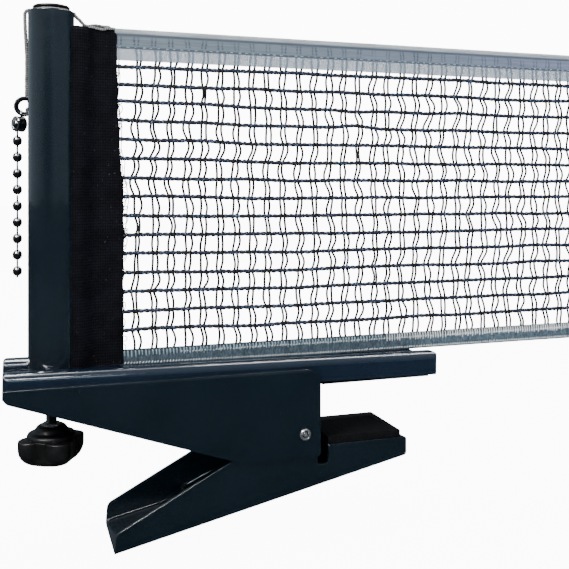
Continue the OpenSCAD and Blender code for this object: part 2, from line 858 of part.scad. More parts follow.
module balls(from, to) {
    for (i = [from:to]) translate([ball_x, ring_y, ball_z(i)]) sphere(r = ball_d / 2, $fn = 32);
}

module link(z_low, z_high) {
    translate([ball_x, ring_y, z_low]) cylinder(r = link_d / 2, h = z_high - z_low, $fn = 24);
}

module chain_upper() {
    color(black) {
        balls(0, upper_count);
        link(ball_z(upper_count), ball_z(0));
    }
}

module chain_lower() {
    end = upper_count + lower_count;
    color(black) {
        balls(upper_count + 1, end);
        link(ball_z(end) - ball_d / 2 - 1.2, ball_z(upper_count) - ball_d / 2 - 0.2);
    }
}

module placed() {
    translate([-seat_x, 0, 0]) children();
}

placed() upper_arm();
placed() front_cheek();
placed() rear_cheek();
placed() seat_pad();
placed() bridge_plate();
placed() weld_nut();
placed() post_guide();
placed() pivot_pin();
placed() pivot_cap();
placed() pivot_washers();
placed() torsion_spring();
placed() jaw_lever();
placed() jaw_pad();
placed() pivot_bush();
placed() post_tube();
placed() post_cap();
placed() post_plug();
placed() net_rod();
placed() end_sleeve();
placed() top_tape();
placed() net_mesh();
placed() foot_band();
placed() far_hem();
placed() tension_cord();
placed() ring_hook();
placed() split_ring();
placed() height_screw();
placed() adjust_knob();
placed() lock_nut();
placed() screw_clip();
placed() chain_connector();
placed() chain_upper();
placed() chain_lower();
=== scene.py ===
import random
from math import atan2, cos, degrees, dist, exp, floor, hypot, log, pi, radians, sin, sqrt, tan

import bmesh
import bpy
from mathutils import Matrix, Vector


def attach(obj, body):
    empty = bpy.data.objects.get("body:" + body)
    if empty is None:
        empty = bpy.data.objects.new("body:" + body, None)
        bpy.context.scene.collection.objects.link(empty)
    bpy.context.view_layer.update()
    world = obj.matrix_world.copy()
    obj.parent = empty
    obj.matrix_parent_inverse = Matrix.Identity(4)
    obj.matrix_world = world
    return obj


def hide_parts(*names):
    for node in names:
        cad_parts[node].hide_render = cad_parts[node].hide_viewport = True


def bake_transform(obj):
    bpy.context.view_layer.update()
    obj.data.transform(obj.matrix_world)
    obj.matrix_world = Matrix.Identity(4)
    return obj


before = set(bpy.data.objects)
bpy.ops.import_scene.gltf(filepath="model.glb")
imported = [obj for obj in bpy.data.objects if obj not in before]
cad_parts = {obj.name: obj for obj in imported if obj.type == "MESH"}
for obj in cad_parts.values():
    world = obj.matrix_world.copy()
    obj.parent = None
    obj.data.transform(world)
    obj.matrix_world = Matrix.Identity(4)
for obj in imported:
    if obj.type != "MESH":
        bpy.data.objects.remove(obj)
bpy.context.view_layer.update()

seatX = 0.150  # from the post's axis to the frame's origin


def spot(x, y, z):  # millimetres: x from the post's axis, y to the rear, z above the table top
    return Vector((x / 1000 - seatX, y / 1000, z / 1000))


outlook = {"place": (-0.1674, -0.380, 0.093), "turn": -18.4, "lens": 52.2, "shift": -0.1714}

bpy.ops.object.camera_add(location=outlook["place"],
                          rotation=(radians(90), 0, radians(outlook["turn"])))
camera = bpy.context.object
camera.data.sensor_width = 36
camera.data.lens = outlook["lens"]
camera.data.shift_y = outlook["shift"]
camera.data.clip_start = 0.01
bpy.context.scene.camera = camera
print("camera in place")


# Finishes. A wire is one output of a shader node, and sums on it add Math nodes.
class Wire:
    def __init__(self, finish, socket):
        self.finish = finish
        self.socket = socket

    def calc(self, operation, *terms, clamp=False):
        return self.finish.add("ShaderNodeMath", {"operation": operation, "use_clamp": clamp},
                               dict(enumerate(terms)))

    def part(self, output):  # another output of the same node
        return Wire(self.finish, self.socket.node.outputs[output])

    def __add__(self, other):
        return self.calc("ADD", self, other)

    def __radd__(self, other):
        return self.calc("ADD", other, self)

    def __sub__(self, other):
        return self.calc("SUBTRACT", self, other)

    def __rsub__(self, other):
        return self.calc("SUBTRACT", other, self)

    def __mul__(self, other):
        return self.calc("MULTIPLY", self, other)

    def __rmul__(self, other):
        return self.calc("MULTIPLY", other, self)

    def __truediv__(self, other):
        return self.calc("DIVIDE", self, other)

    def wave(self):  # 0 to 1 and back, once for each unit
        return self.calc("SINE", self * (2 * pi)) * 0.5 + 0.5

    def above(self, low, high):  # 0 under low, 1 over high
        return self.calc("MULTIPLY", self - low, 1 / (high - low), clamp=True)

    def band(self, low, full, last, high):  # 1 from full to last, 0 under low and over high
        return self.above(low, full) * (1 - self.above(last, high))


class Finish:
    def __init__(self, name, library=bpy.data.materials):
        self.material = library.new(name)
        self.material.use_nodes = True
        self.tree = self.material.node_tree
        self.tree.nodes.clear()

    def add(self, kind, settings=(), inputs=(), output=0):
        node = self.tree.nodes.new(kind)
        for key, value in dict(settings).items():
            setattr(node, key, value)
        for key, value in dict(inputs).items():
            socket = node.inputs[key]
            if isinstance(value, Wire):
                self.tree.links.new(value.socket, socket)
            else:
                socket.default_value = (*value, 1) if socket.type == "RGBA" else value
        return Wire(self, node.outputs[output]) if len(node.outputs) else None

    def place(self):
        return self.add("ShaderNodeTexCoord", output="Object")

    def chart(self):  # the piece's own UV map, in millimetres
        return self.split(self.add("ShaderNodeUVMap", {"uv_map": "chart"}))

    def split(self, wire):
        axes = self.add("ShaderNodeSeparateXYZ", inputs={0: wire})
        return axes, axes.part(1), axes.part(2)

    def noise(self, scale, detail=2, rough=0.5, stretch=None):
        place = self.place()
        if stretch:
            place = self.add("ShaderNodeMapping", inputs={"Vector": place, "Scale": stretch})
        return self.add("ShaderNodeTexNoise",
                        inputs={"Vector": place, "Scale": scale, "Detail": detail, "Roughness": rough})

    def mix(self, share, low, high):
        return self.add("ShaderNodeMix", {"data_type": "RGBA"}, {0: share, 6: low, 7: high}, output=2)

    def surface(self, height=None, depth=0.0001, strength=0.5, soften=0, **values):
        relief = {}
        if soften:  # rounds the sharp edges of sheet metal
            relief = {"Normal": self.add("ShaderNodeBevel", {"samples": 4}, {"Radius": soften})}
        if height is not None:
            bump = {"Height": height, "Distance": depth, "Strength": strength, **relief}
            relief = {"Normal": self.add("ShaderNodeBump", inputs=bump)}
        named = {key.replace("_", " "): value for key, value in values.items()}
        return self.add("ShaderNodeBsdfPrincipled", inputs={**named, **relief})

    def output(self, shader):
        self.add("ShaderNodeOutputMaterial", inputs={"Surface": shader})
        return self.material

    def skin(self, **values):
        return self.output(self.surface(**values))


def scaled(tone, share, lift=0):
    return tuple(c * share + lift for c in tone)


def paint(f, tone, light, rough, soften, coat=0.5):
    cloud = f.noise(38, 3)  # the sheet is never quite flat
    peel = f.noise(700)  # orange peel
    grit = f.noise(2600, 1)
    scuff = f.noise(420, 4, 0.7, (1, 1, 0.25)).above(0.62, 0.8)
    base = f.mix(cloud.above(0.3, 0.7), tone, light)
    base = f.mix(grit.above(0.72, 0.76) * 0.3, base, (0.06, 0.07, 0.08))
    return f.skin(height=peel + grit * 0.25 + cloud * 7, depth=0.00006, strength=0.4, soften=soften,
                  Base_Color=base, Roughness=rough + 0.05 * cloud + 0.14 * scuff,
                  Coat_Weight=coat - 0.25 * scuff, Coat_Roughness=0.05, Specular_IOR_Level=0.4)


def plated(f, tone, rough, brush=(1, 1, 1), metal=1.0):
    lines = f.noise(900, 4, 0.65, brush)
    dull = f.noise(260, 3).above(0.4, 0.8)
    return f.skin(height=lines, depth=0.00004, strength=0.35, soften=0.0002,
                  Base_Color=f.mix(dull * 0.7 + lines * 0.2, tone, scaled(tone, 0.62)), Metallic=metal,
                  Roughness=rough + 0.14 * dull + 0.06 * lines)


def moulded(f, tone, rough, grain=1500, depth=0.00008):
    pebble = f.add("ShaderNodeTexVoronoi", {"feature": "SMOOTH_F1"},
                   {"Vector": f.place(), "Scale": grain, "Smoothness": 0.6})
    haze = f.noise(180, 4, 0.6)
    return f.skin(height=pebble + haze * 0.4, depth=depth, strength=0.4, soften=0.0002,
                  Base_Color=f.mix(haze.above(0.45, 0.75), tone, scaled(tone, 2.2, 0.002)),
                  Roughness=rough + 0.16 * haze, Specular_IOR_Level=0.25)


def rubber(f, tone):
    x, y, z = f.split(f.place())
    rib = (x * 500).wave() * 0.7 + (y * 500).wave() * 0.3
    dust = f.noise(300, 4, 0.7)
    return f.skin(height=rib + dust * 0.3, depth=0.00025, strength=0.6,
                  Base_Color=f.mix(dust.above(0.45, 0.8), tone, scaled(tone, 2.2)),
                  Roughness=0.72 + 0.15 * dust, Specular_IOR_Level=0.08)


def ribbedCloth(f, tone, light):
    u, v, w = f.chart()
    rib = (u / 1.05).wave()
    cross = (v / 1.3).wave()
    fuzz = f.noise(1700, 4, 0.7)
    patch = f.noise(130, 3, 0.6).above(0.15, 0.6)
    fleck = f.noise(900).above(0.72, 0.76)
    base = f.mix((rib * 0.45 + cross * 0.35 + fuzz.above(0.45, 0.8) * 0.4) * patch, tone, light)
    base = f.mix(fleck * 0.35, base, (0.08, 0.085, 0.10))
    return f.skin(height=rib * 0.6 + cross * 0.5 + fuzz * 0.5, depth=0.00022, strength=0.7, Base_Color=base,
                  Roughness=0.85 + 0.1 * fuzz, Specular_IOR_Level=0.04)


def tapeCloth(f, band, flange, bead, far, shadow):  # v runs from each lower edge up to the rounded top
    u, v, w = f.chart()
    weave = (u / 0.55).wave() * (v / 0.5).wave()
    fuzz = f.noise(1500, 3, 0.6)
    streak = f.noise(1300, 3, 0.6, (0.035, 1, 1)).above(0.35, 0.72)
    cloud = f.noise(110, 3, 0.6, (0.3, 1, 1))
    sway = f.noise(190, 1) - 0.5
    pair = ((u - 35.3 + sway * 2) / 7.9).wave()  # painted shadow of the net's upright pairs inside the tape
    pairShadow = pair.band(0.72, 0.84, 0.94, 0.99) * (0.45 + 0.55 * (v / 1.7).wave())
    pairShadow = pairShadow * v.band(6.6, 7.2, 10.4, 10.9) * cloud.above(0.30, 0.55)
    # painted shade in the crease under the rounded top
    neck = v.band(10.8, 11.2, 11.9, 12.4)
    seam = v.band(5.2, 5.5, 6.1, 6.4)
    onBand = v.above(5.2, 5.7)
    tone = f.mix(onBand, flange, f.mix(u.above(90, 260) * 0.75, band, far))
    tone = f.mix(v.above(12.2, 12.7), tone, bead)
    tone = f.mix(streak * onBand * 0.55 + cloud * 0.15, tone, scaled(band, 0.5))
    # Painted shadows of the pairs and painted shade under the rounded top take the shadow colour; so does the
    # darker line along the seam
    tone = f.mix(pairShadow * 0.95 + neck * 0.7 + seam * 0.75, tone, shadow)
    return f.skin(height=weave * 0.6 + fuzz * 0.5 + streak * 0.5, depth=0.00014, strength=0.6,
                  Base_Color=tone, Roughness=0.62 + 0.2 * fuzz, Alpha=0.58 + 0.41 * onBand,
                  Specular_IOR_Level=0.3)


def twine(f, tone, light, fleck, scale, flecks, lay=0):
    fibre = f.noise(scale * 2.2, 4, 0.7)
    base = f.mix(fibre.above(0.4, 0.75), tone, light)
    base = f.mix(f.noise(scale).above(0.56, 0.68) * flecks, base, fleck)
    if lay:  # painted shade: the valleys between twisted plies are darker
        u, v, w = f.chart()
        base = f.mix((u / lay + v).wave().above(0.0, 0.45), scaled(tone, 0.3), base)
    return f.skin(height=fibre, depth=0.00015, strength=0.7, Base_Color=base,
                  Roughness=0.75 + 0.15 * fibre, Specular_IOR_Level=0.25)


def wovenStrip(f, tone, light, nap, edge=0.0):
    u, v, w = f.chart()
    weave = (u / 0.6).wave() * 0.6 + (v / 0.6).wave() * 0.4
    fuzz = f.noise(1500, 4, 0.7)
    hair = f.noise(1300, 3, 0.7, (1, 1, 0.3)).above(0.42, 0.7)
    cloud = f.noise(140, 3)
    base = f.mix(weave * 0.25 + fuzz.above(0.4, 0.8) * 0.35 + hair * 0.5 * nap, tone, light)
    base = f.mix(cloud.above(0.5, 0.7) * 0.4 + (1 - v.above(0.35, 0.8)) * edge, base, tone)
    return f.skin(height=weave + fuzz * 0.4 + hair * 0.6, depth=0.0002, strength=0.8, Base_Color=base,
                  Roughness=0.8 + 0.1 * fuzz, Specular_IOR_Level=0.25)


blueBlack = ((0.0014, 0.0050, 0.0090), (0.0024, 0.0074, 0.0124))
recipes = {
    "clampPaint": (paint, *blueBlack, 0.16, 0.0006),
    "cheekPaint": (paint, *blueBlack, 0.16, 0.00008, 0.4),
    "armPaint": (paint, (0.0020, 0.0068, 0.0160), (0.0032, 0.0094, 0.0205), 0.14, 0.0004, 0.8),
    "postPaint": (paint, (0.0030, 0.0068, 0.0110), (0.0044, 0.0092, 0.0142), 0.14, 0.0004, 0.8),
    "zincPlate": (plated, (0.30, 0.31, 0.32), 0.12, (1, 1, 1), 0.8),
    "turnedSteel": (plated, (0.15, 0.155, 0.16), 0.22, (1, 1, 6)),
    "springWire": (plated, (0.34, 0.345, 0.35), 0.10, (0.4, 1, 1)),
    "blackNickel": (plated, (0.15, 0.15, 0.155), 0.08),
    "ringWire": (plated, (0.03, 0.031, 0.035), 0.28),
    "brightNickel": (plated, (0.74, 0.74, 0.72), 0.22, (1, 1, 1), 0.7),
    "padRubber": (rubber, (0.0018, 0.0020, 0.0028)),
    "knobPlastic": (moulded, (0.0016, 0.0017, 0.0018), 0.32),
    "capPlastic": (moulded, (0.0022, 0.0023, 0.0026), 0.3, 2200, 0.00004),
    "washerNylon": (moulded, (0.62, 0.61, 0.56), 0.5, 900, 0.00003),
    "sleeveCloth": (ribbedCloth, (0.0005, 0.0005, 0.0011), (0.0070, 0.0070, 0.0115)),
    "tapeCloth": (tapeCloth, (0.13, 0.17, 0.21), (0.215, 0.275, 0.345), (0.38, 0.42, 0.44),
                  (0.17, 0.20, 0.32), (0.035, 0.05, 0.07)),
    "netCord": (twine, (0.0020, 0.0038, 0.013), (0.009, 0.017, 0.055), (0.13, 0.21, 0.38), 1000, 0.9, 1.3),
    "netThread": (twine, (0.0012, 0.0012, 0.0018), (0.006, 0.006, 0.007), (0.03, 0.028, 0.03), 1500, 0.3),
    "footCloth": (wovenStrip, (0.010, 0.020, 0.030), (0.14, 0.21, 0.27), 1.0, 0.9),
    "footThread": (twine, (0.20, 0.31, 0.37), (0.50, 0.62, 0.68), (0.03, 0.06, 0.08), 420, 0.85),
    "whiteThread": (twine, (0.62, 0.64, 0.65), (0.88, 0.89, 0.89), (0.30, 0.34, 0.38), 420, 0.6),
    "hemCloth": (wovenStrip, (0.38, 0.41, 0.43), (0.72, 0.74, 0.75), 0.5),
    "cordCotton": (twine, (0.12, 0.12, 0.12), (0.44, 0.43, 0.42), (0.05, 0.05, 0.05), 900, 0.5, 1.0),
}
finishes = {name: make(Finish(name), *values) for name, (make, *values) in recipes.items()}
print("finishes ready:", len(finishes))


# Hand tools
def blank():  # nothing selected
    bpy.ops.object.select_all(action="DESELECT")


def only(obj):
    blank()
    obj.select_set(True)
    bpy.context.view_layer.objects.active = obj


def openUp(obj, action="DESELECT"):  # into edit mode with nothing or all of it selected
    only(obj)
    bpy.ops.object.mode_set(mode="EDIT")
    bpy.ops.mesh.select_all(action=action)


def close():
    bpy.ops.object.mode_set(mode="OBJECT")


def faceOut():
    bpy.ops.mesh.select_all(action="SELECT")
    bpy.ops.mesh.normals_make_consistent(inside=False)


def pick(obj, kind, rule):  # selects the faces, edges or verts that the rule says yes to
    bpy.ops.mesh.select_all(action="DESELECT")
    bpy.ops.mesh.select_mode(type=kind[:-1].upper())
    form = bmesh.from_edit_mesh(obj.data)
    for item in getattr(form, kind):
        item.select_set(bool(rule(item)))
    bmesh.update_edit_mesh(obj.data)


def modify(obj, kind, **settings):
    only(obj)
    modifier = obj.modifiers.new(kind.title(), kind)
    for key, value in settings.items():
        setattr(modifier, key, value)
    bpy.ops.object.modifier_apply(modifier=modifier.name)


def joined(parts):
    only(parts[0])
    for part in parts:
        part.select_set(True)
    bpy.ops.object.join()
    return parts[0]


def applied(obj):
    only(obj)
    bpy.ops.object.transform_apply(location=True, rotation=True, scale=True)
    return obj


def turned(obj, place, rotation=(0, 0, 0)):
    obj.location, obj.rotation_euler = place, rotation
    return applied(obj)


def coat(obj, finish):
    obj.data.materials.clear()
    obj.data.materials.append(finishes[finish])
    return obj


def settle(obj, name, body, finish, stands=(), angle=40):
    applied(obj)
    bpy.ops.object.shade_smooth_by_angle(angle=radians(angle))
    obj.name = obj.data.name = name
    if finish:
        coat(obj, finish)
    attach(obj, body)
    if stands:
        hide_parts(*stands)
    print("made", name, len(obj.data.polygons), "faces")
    return obj


def meshFrom(points, faces, chart):  # chart is the UV in millimetres, one pair for each point
    mesh = bpy.data.meshes.new("made")
    mesh.from_pydata([tuple(p) for p in points], [], faces)
    layer = mesh.uv_layers.new(name="chart")
    for loop in mesh.loops:
        layer.data[loop.index].uv = chart[loop.vertex_index]
    mesh.update()
    obj = bpy.data.objects.new("made", mesh)
    bpy.context.scene.collection.objects.link(obj)
    return obj


def cloth(points, chart, wide, thick, offset=0):  # lines of points, wide of them on each
    faces = [(a, a + 1, a + wide + 1, a + wide)
             for start in range(0, len(points) - wide, wide) for a in range(start, start + wide - 1)]
    obj = meshFrom(points, faces, chart)
    modify(obj, "SOLIDIFY", thickness=thick / 1000, offset=offset)
    return obj


def strands(paths, thick, sides=6, plies=0, lay=2.2, groove=0.0, seed=1):
    # A tube along each path, thick its radius; plies, lay and groove twist strands into it
    dice = random.Random(seed)
    radius = thick / 1000
    points, faces, chart = [], [], []
    for path in paths:
        path = [Vector(p) for p in path]
        side, along, first, last = None, 0.0, len(points), len(path) - 1
        phase = dice.random()
        for i, p in enumerate(path):
            ahead = (path[min(i + 1, last)] - path[max(i - 1, 0)]).normalized()
            if side is None:
                side = ahead.orthogonal().normalized()
            side = (side - ahead * side.dot(ahead)).normalized()
            other = ahead.cross(side)
            if i:
                along += (p - path[i - 1]).length * 1000
            grow = radius * (1 + 0.07 * (dice.random() - 0.5) * (plies > 0))
            for k in range(sides):
                a = 2 * pi * k / sides
                dip = 0
                if plies:
                    turn = a * plies / 2 + pi * along / lay * plies / 2 + phase * 6.3
                    dip = groove * (1 - abs(cos(turn)))
                points.append(p + (side * cos(a) + other * sin(a)) * (grow - dip * radius))
                chart.append((along, k / sides))
        for i in range(last):
            for k in range(sides):
                a, b = first + i * sides + k, first + i * sides + (k + 1) % sides
                faces.append((a, b, b + sides, a + sides))
        faces.append(tuple(first + k for k in range(sides - 1, -1, -1)))
        faces.append(tuple(first + last * sides + k for k in range(sides)))
    return meshFrom(points, faces, chart)


def held(t):  # kept within 0 and 1
    return max(0.0, min(1.0, t))


def eased(t):
    return t * t * (3 - 2 * t)


def polar(r, turn):
    a = radians(turn)
    return r * cos(a), r * sin(a)


def wander(dice, step, size, count=40):  # a smooth random run: wander(...)(x) is within size of 0
    knots = [dice.uniform(-size, size) for i in range(count)]

    def at(x):
        t = x / step
        i = int(floor(t)) % (count - 1)
        u = eased(t - floor(t))
        return knots[i] * (1 - u) + knots[i + 1] * u
    return at


def smoothPath(points, steps=6):  # Catmull-Rom through the points
    points = [Vector(p) for p in points]
    ends = [points[0]] + points + [points[-1]]
    out = []
    for a, b, c, d in zip(ends, ends[1:], ends[2:], ends[3:]):
        for j in range(steps):
            t = j / steps
            out.append(0.5 * (2 * b + (c - a) * t + (2 * a - 5 * b + 4 * c - d) * t * t
                              + (3 * b - a - 3 * c + d) * t ** 3))
    return out + [points[-1]]


# The net: twisted cords level, wavy pairs of thin thread upright
net = {"top": 165.1, "low": 12.6, "firstRow": 148.4, "pitch": 8.7, "rows": 15, "from": 26.5, "to": 286.4,
       "cord": 1.08, "step": 0.55, "fuzz": 0.13, "columns": 32, "firstColumn": 37.3, "columnPitch": 7.9,
       "tuckTop": 4.2, "tuckLow": 4.4, "thread": 0.58, "gap": 1.95, "level": (23, 0.35), "wave": (46, 1.3),
       "bulge": (52, 1.0), "kink": 0.28, "loose": 0.7, "pinch": (146, 9), "seed": 11}
dice = random.Random(net["seed"])
rowLevel = [wander(dice, *net["level"]) for i in range(net["rows"])]
rowShift = [wander(dice, *net["wave"]) for i in range(net["rows"] + 2)]
rowBulge = [wander(dice, *net["bulge"]) for i in range(net["rows"] + 2)]


def nearPost(x):  # 1 within 30 mm of the post, 0 from 120 mm
    return held((120 - x) / 90)


def rowHeight(i, x):
    lift = -0.8 if i == 0 else 0.1 if i == 1 else 1.1
    pinchX, pinchWide = net["pinch"]  # two rows draw together there
    pinch = 1.3 * exp(-((x - pinchX) / pinchWide) ** 2) * (1 if i == 3 else -0.6 if i == 2 else 0)
    return net["firstRow"] - net["pitch"] * i + lift * eased(nearPost(x)) + rowLevel[i](x) + pinch


def netRows():
    paths = []
    steps = int((net["to"] - net["from"]) / net["step"])
    for i in range(net["rows"]):
        jitter = wander(dice, 1.1, net["fuzz"], 400)
        paths.append([spot(x, 0.12 * jitter(x + 7) / net["fuzz"], rowHeight(i, x) + jitter(x))
                      for x in (net["from"] + net["step"] * k for k in range(steps + 1))])
    return strands(paths, net["cord"], 7, 2, 2.8, 0.34, 3)


def columnPath(x, part):  # part is -1 or 1, the pair's left or right thread
    rows = net["rows"]
    levels = [rowHeight(i, x) for i in range(rows)]
    levels = [net["top"] - net["tuckTop"]] + levels + [net["low"] + net["tuckLow"]]
    slack = 1 + net["loose"] * exp(-((x - 36) / 22) ** 2)  # looser next to the sleeve
    spread = [net["gap"] / 2 * dice.uniform(0.8, 1.1) for i in levels]
    kink = [dice.uniform(-net["kink"], net["kink"]) * slack for i in levels]
    path = []
    for k in range(rows + 1):
        high, low = levels[k], levels[k + 1]
        shiftA = rowShift[k](x) * (k > 0) + kink[k]
        shiftB = rowShift[min(k + 1, rows)](x) * (k < rows) + kink[k + 1]
        own = dice.uniform(-0.4, 0.4) * slack
        mid = spread[k] * dice.uniform(0.95, 1.8)
        for j in range(10):
            t = j / 10
            belly = sin(pi * t)
            drift = shiftA + (shiftB - shiftA) * eased(t) - (rowBulge[k](x) - 0.35 + own) * belly
            half = spread[k] * (1 - t) + spread[k + 1] * t
            half += (mid - half) * belly
            weave = cos(pi * t) * (1 if (k + int(x / net["columnPitch"])) % 2 else -1)
            if k in (0, rows):  # straight inside the tapes
                weave *= held((t - 0.85) / 0.15 if k == 0 else (0.8 - t) / 0.3)
            path.append(spot(x + drift + part * half, 0.95 * weave, high + (low - high) * t))
    path.append(spot(x + part * spread[-1], 0, levels[-1]))
    return path


def netColumns():
    paths = []
    for i in range(net["columns"]):
        x = net["firstColumn"] + net["columnPitch"] * i + dice.uniform(-0.3, 0.3)
        paths += [columnPath(x, -1), columnPath(x, 1)]
    return strands(paths, net["thread"], 5)


netting = joined([coat(netRows(), "netCord"), coat(netColumns(), "netThread")])
settle(netting, "netting", "post", None, ["net_mesh"], 80)


# Cloth strips: an outline across the strip, run along the net
def strip(settings, shape):
    dice = random.Random(settings["seed"])
    sway = wander(dice, 17, settings["ripple"])
    fine = wander(dice, 5, settings["ripple"] * 0.4, 80)
    x0, x1 = settings["from"], settings["to"]
    count = int((x1 - x0) / settings["step"])
    points, chart = [], []
    for i in range(count + 1):
        x = x0 + (x1 - x0) * i / count
        profile = shape(x)
        runs = [0.0]
        for a, b in zip(profile, profile[1:]):
            runs.append(runs[-1] + dist(a, b))
        for (y, z), run in zip(profile, runs):
            points.append(spot(x, y + sway(x + z * 0.7) + fine(x * 1.3 - z), z))
            chart.append((x, min(run, runs[-1] - run)))
    return cloth(points, chart, len(profile), settings["thick"])


def folded(front, middle, radius, start, end, count):  # front face, rounded edge, and the rear to match
    turns = [polar(radius, start + (end - start) * i / count) for i in range(count + 1)]
    return front + [(y, middle + z) for y, z in turns] + [(-y, z) for y, z in reversed(front)]


tape = {"from": 27.6, "to": 286.2, "step": 1.6, "thick": 0.35, "ripple": 0.12, "seed": 21, "bead": 1.4,
        "middle": 1.55,
        "front": [(-0.75, 150.7), (-0.75, 152.5), (-0.75, 154.4), (-0.75, 155.9), (-0.95, 156.4),
                  (-0.95, 157.6), (-1.05, 159.4), (-0.95, 161.0), (-0.6, 161.9)]}


def tapeShape(x):
    return folded(tape["front"], net["top"] - tape["middle"], tape["bead"], 205, -25, 12)


def stitches(x0, x1, pitch, place, reach, thick, seed):
    # A short raised thread for every stitch, on both faces; place(x) is its y and z, reach its dx and dz
    dice = random.Random(seed)
    paths = []
    for i in range(int((x1 - x0) / pitch)):
        for face in (-1, 1):
            x = x0 + pitch * (i + dice.uniform(-0.12, 0.12))
            y, z = place(x)
            dx, dz = (r * dice.uniform(0.75, 1.15) for r in reach)
            sink, rise = face * (y - 0.2), face * (y + 0.2)
            paths.append([spot(x, sink, z), spot(x + dx * 0.2, rise, z + dz * 0.2),
                          spot(x + dx * 0.8, rise, z + dz * 0.8), spot(x + dx, sink, z + dz)])
    return strands(paths, thick, 5)


topTape = settle(strip(tape, tapeShape), "top_tape_cloth", "post", "tapeCloth",
                 ["top_tape"], 60)
tapeSeam = settle(stitches(29.5, 285, 3.5, lambda x: (1.12, 156.55), (1.5, 0.05), 0.17, 31),
                  "tape_seam", "post", "footThread", (), 80)

foot = {"from": 30.2, "to": 286.2, "step": 1.6, "thick": 0.4, "ripple": 0.06, "seed": 22, "half": 0.72,
        "top": 18.75, "lowNear": 11.75, "lowFar": 10.55, "blueEnd": 163, "whiteEnd": 285.6}


def footLow(x):  # follows the groove in the arm
    return foot["lowFar"] + (foot["lowNear"] - foot["lowFar"]) * nearPost(x)


def footShape(x):
    half, low = foot["half"], footLow(x)
    front = [(0.12 - half, foot["top"]), (-half, 17.6), (-half - 0.05, 16.2), (-half, 14.8),
             (-half, low + 1)]
    return folded(front, low + half, half, 190, 350, 8)


footBand = settle(strip(foot, footShape), "foot_band_cloth", "post", "footCloth",
                  ["foot_band"], 60)
blueEnd, whiteEnd = foot["blueEnd"], foot["whiteEnd"]
seams = {                # finish, start, end, pitch, place, reach, thickness and seed
    "foot_overlock": ("footThread", 32, blueEnd, 1.6, lambda x: (0.96, 18.35), (0.25, -2.5), 0.32, 32),
    "foot_overlock_white": (
        "whiteThread", blueEnd, whiteEnd, 1.45, lambda x: (0.96, 18.7), (0.3, -3.2), 0.3, 33),
    "foot_upper_seam": (
        "whiteThread", 58, whiteEnd, 1.38, lambda x: (1.0, 16.35), (0.5, 0.6), 0.25, 34),
    "foot_lower_seam": (
        "whiteThread", 32, whiteEnd, 1.38, lambda x: (0.95, footLow(x) + 0.85), (0.5, 0.6), 0.25, 35),
}
footTrim = [settle(stitches(*values), name, "post", thread, (), 80)
            for name, (thread, *values) in seams.items()]
print("tapes sewn")

hem = {"x": 286.0, "width": 4, "half": 0.7, "step": 2.0, "thick": 0.4, "margin": 0.15,
       "sway": (15, 0.12), "seed": 5}


def hemStrip():
    half, width, margin = hem["half"], hem["width"], hem["margin"]
    front = [(0, -half + 0.1), (1.2, -half), (2.6, -half), (width - 0.7, -half), (width - 0.2, -half * 0.6)]
    plan = front + [(width, 0)] + [(x, -y) for x, y in reversed(front)]
    sway = wander(random.Random(hem["seed"]), *hem["sway"])
    tall = net["top"] - net["low"]
    count = int(tall / hem["step"])
    points, chart = [], []
    for i in range(count + 1):
        z = net["low"] + margin + (tall - 2 * margin) * i / count
        for k, (x, y) in enumerate(plan):
            points.append(spot(hem["x"] + x, y + sway(z), z))
            chart.append((z, k * 0.9))
    return cloth(points, chart, len(plan), hem["thick"])


farHem = settle(hemStrip(), "far_hem_cloth", "post", "hemCloth", ["far_hem"], 60)

# The black sleeve that holds the net's end to the post; edge is its free edge at each height
sleeve = {"low": 12.7, "top": 164.4, "rib": 1.05, "ribDepth": 0.05, "count": 180, "stepUp": 2.0,
          "thick": 0.5, "seed": 8, "fray": (2.3, 0.35, 90), "folds": (21, 0.5), "foldDepth": 0.25,
          "loops": 34, "loopSeed": 17, "thread": 0.2, "sway": (5.5, 0.75, 60), "drift": (17, 0.8, 30),
          "hanging": ((161, 104, 1.2), (132, 60, 2.0), (98, 22, 1.3)),   # from, to and how far out
          "edge": [(12, 31.7), (87, 31.7), (96, 31.4), (104, 30.3), (110, 29.9), (124, 29.4), (166, 28.7)]}


def sleeveEdge(z):
    line = sleeve["edge"]
    for (z0, x0), (z1, x1) in zip(line, line[1:]):
        if z <= z1:
            return x0 + (x1 - x0) * held((z - z0) / (z1 - z0))
    return line[-1][1]


def sleeveSkin():
    dice = random.Random(sleeve["seed"])
    frayed = wander(dice, *sleeve["fray"])
    fold = wander(dice, *sleeve["folds"])
    low, top, count = sleeve["low"], sleeve["top"], sleeve["count"]
    levels = [low + sleeve["stepUp"] * i for i in range(int((top - low) / sleeve["stepUp"]) + 1)]
    rings = ([(low + 0.5, 0.05), (low + 0.1, 0.5), (low, 0.85)] + [(z, 1) for z in levels]
             + [(top - 0.1, 0.9), (top, 0.5), (top - 0.3, 0.05)])
    points, chart = [], []
    for z, flat in rings:
        edge = sleeveEdge(z) + frayed(z)
        plan = [(8.15, -5.95), (10.2, -6.15), (12.6, -5.9), (15.2, -4.3), (17.6, -2.5), (20, -1.75),
                (24, -1.6), (edge - 1.2, -1.5), (edge - 0.35, -1.1), (edge, 0)]
        plan += [(x, -y) for x, y in reversed(plan[:-1])]
        line = smoothPath([(x, y, 0) for x, y in plan], 14)
        at = [0.0]
        for a, b in zip(line, line[1:]):
            at.append(at[-1] + (b - a).length)
        j = 0
        for k in range(count + 1):
            want = at[-1] * k / count
            while j < len(at) - 2 and at[j + 1] < want:
                j += 1
            t = (want - at[j]) / max(at[j + 1] - at[j], 1e-9)
            p = line[j].lerp(line[j + 1], held(t))
            ahead = (line[j + 1] - line[j]).normalized()
            lump = sleeve["ribDepth"] * cos(2 * pi * want / sleeve["rib"])
            lump += sleeve["foldDepth"] * fold(z * 0.6 + want * 1.9) * (10 < p.x < 27)
            p = p + Vector((ahead.y, -ahead.x, 0)) * lump
            points.append(spot(p.x, p.y * flat, z))
            chart.append((want, z))
    return cloth(points, chart, count + 1, sleeve["thick"], -1)


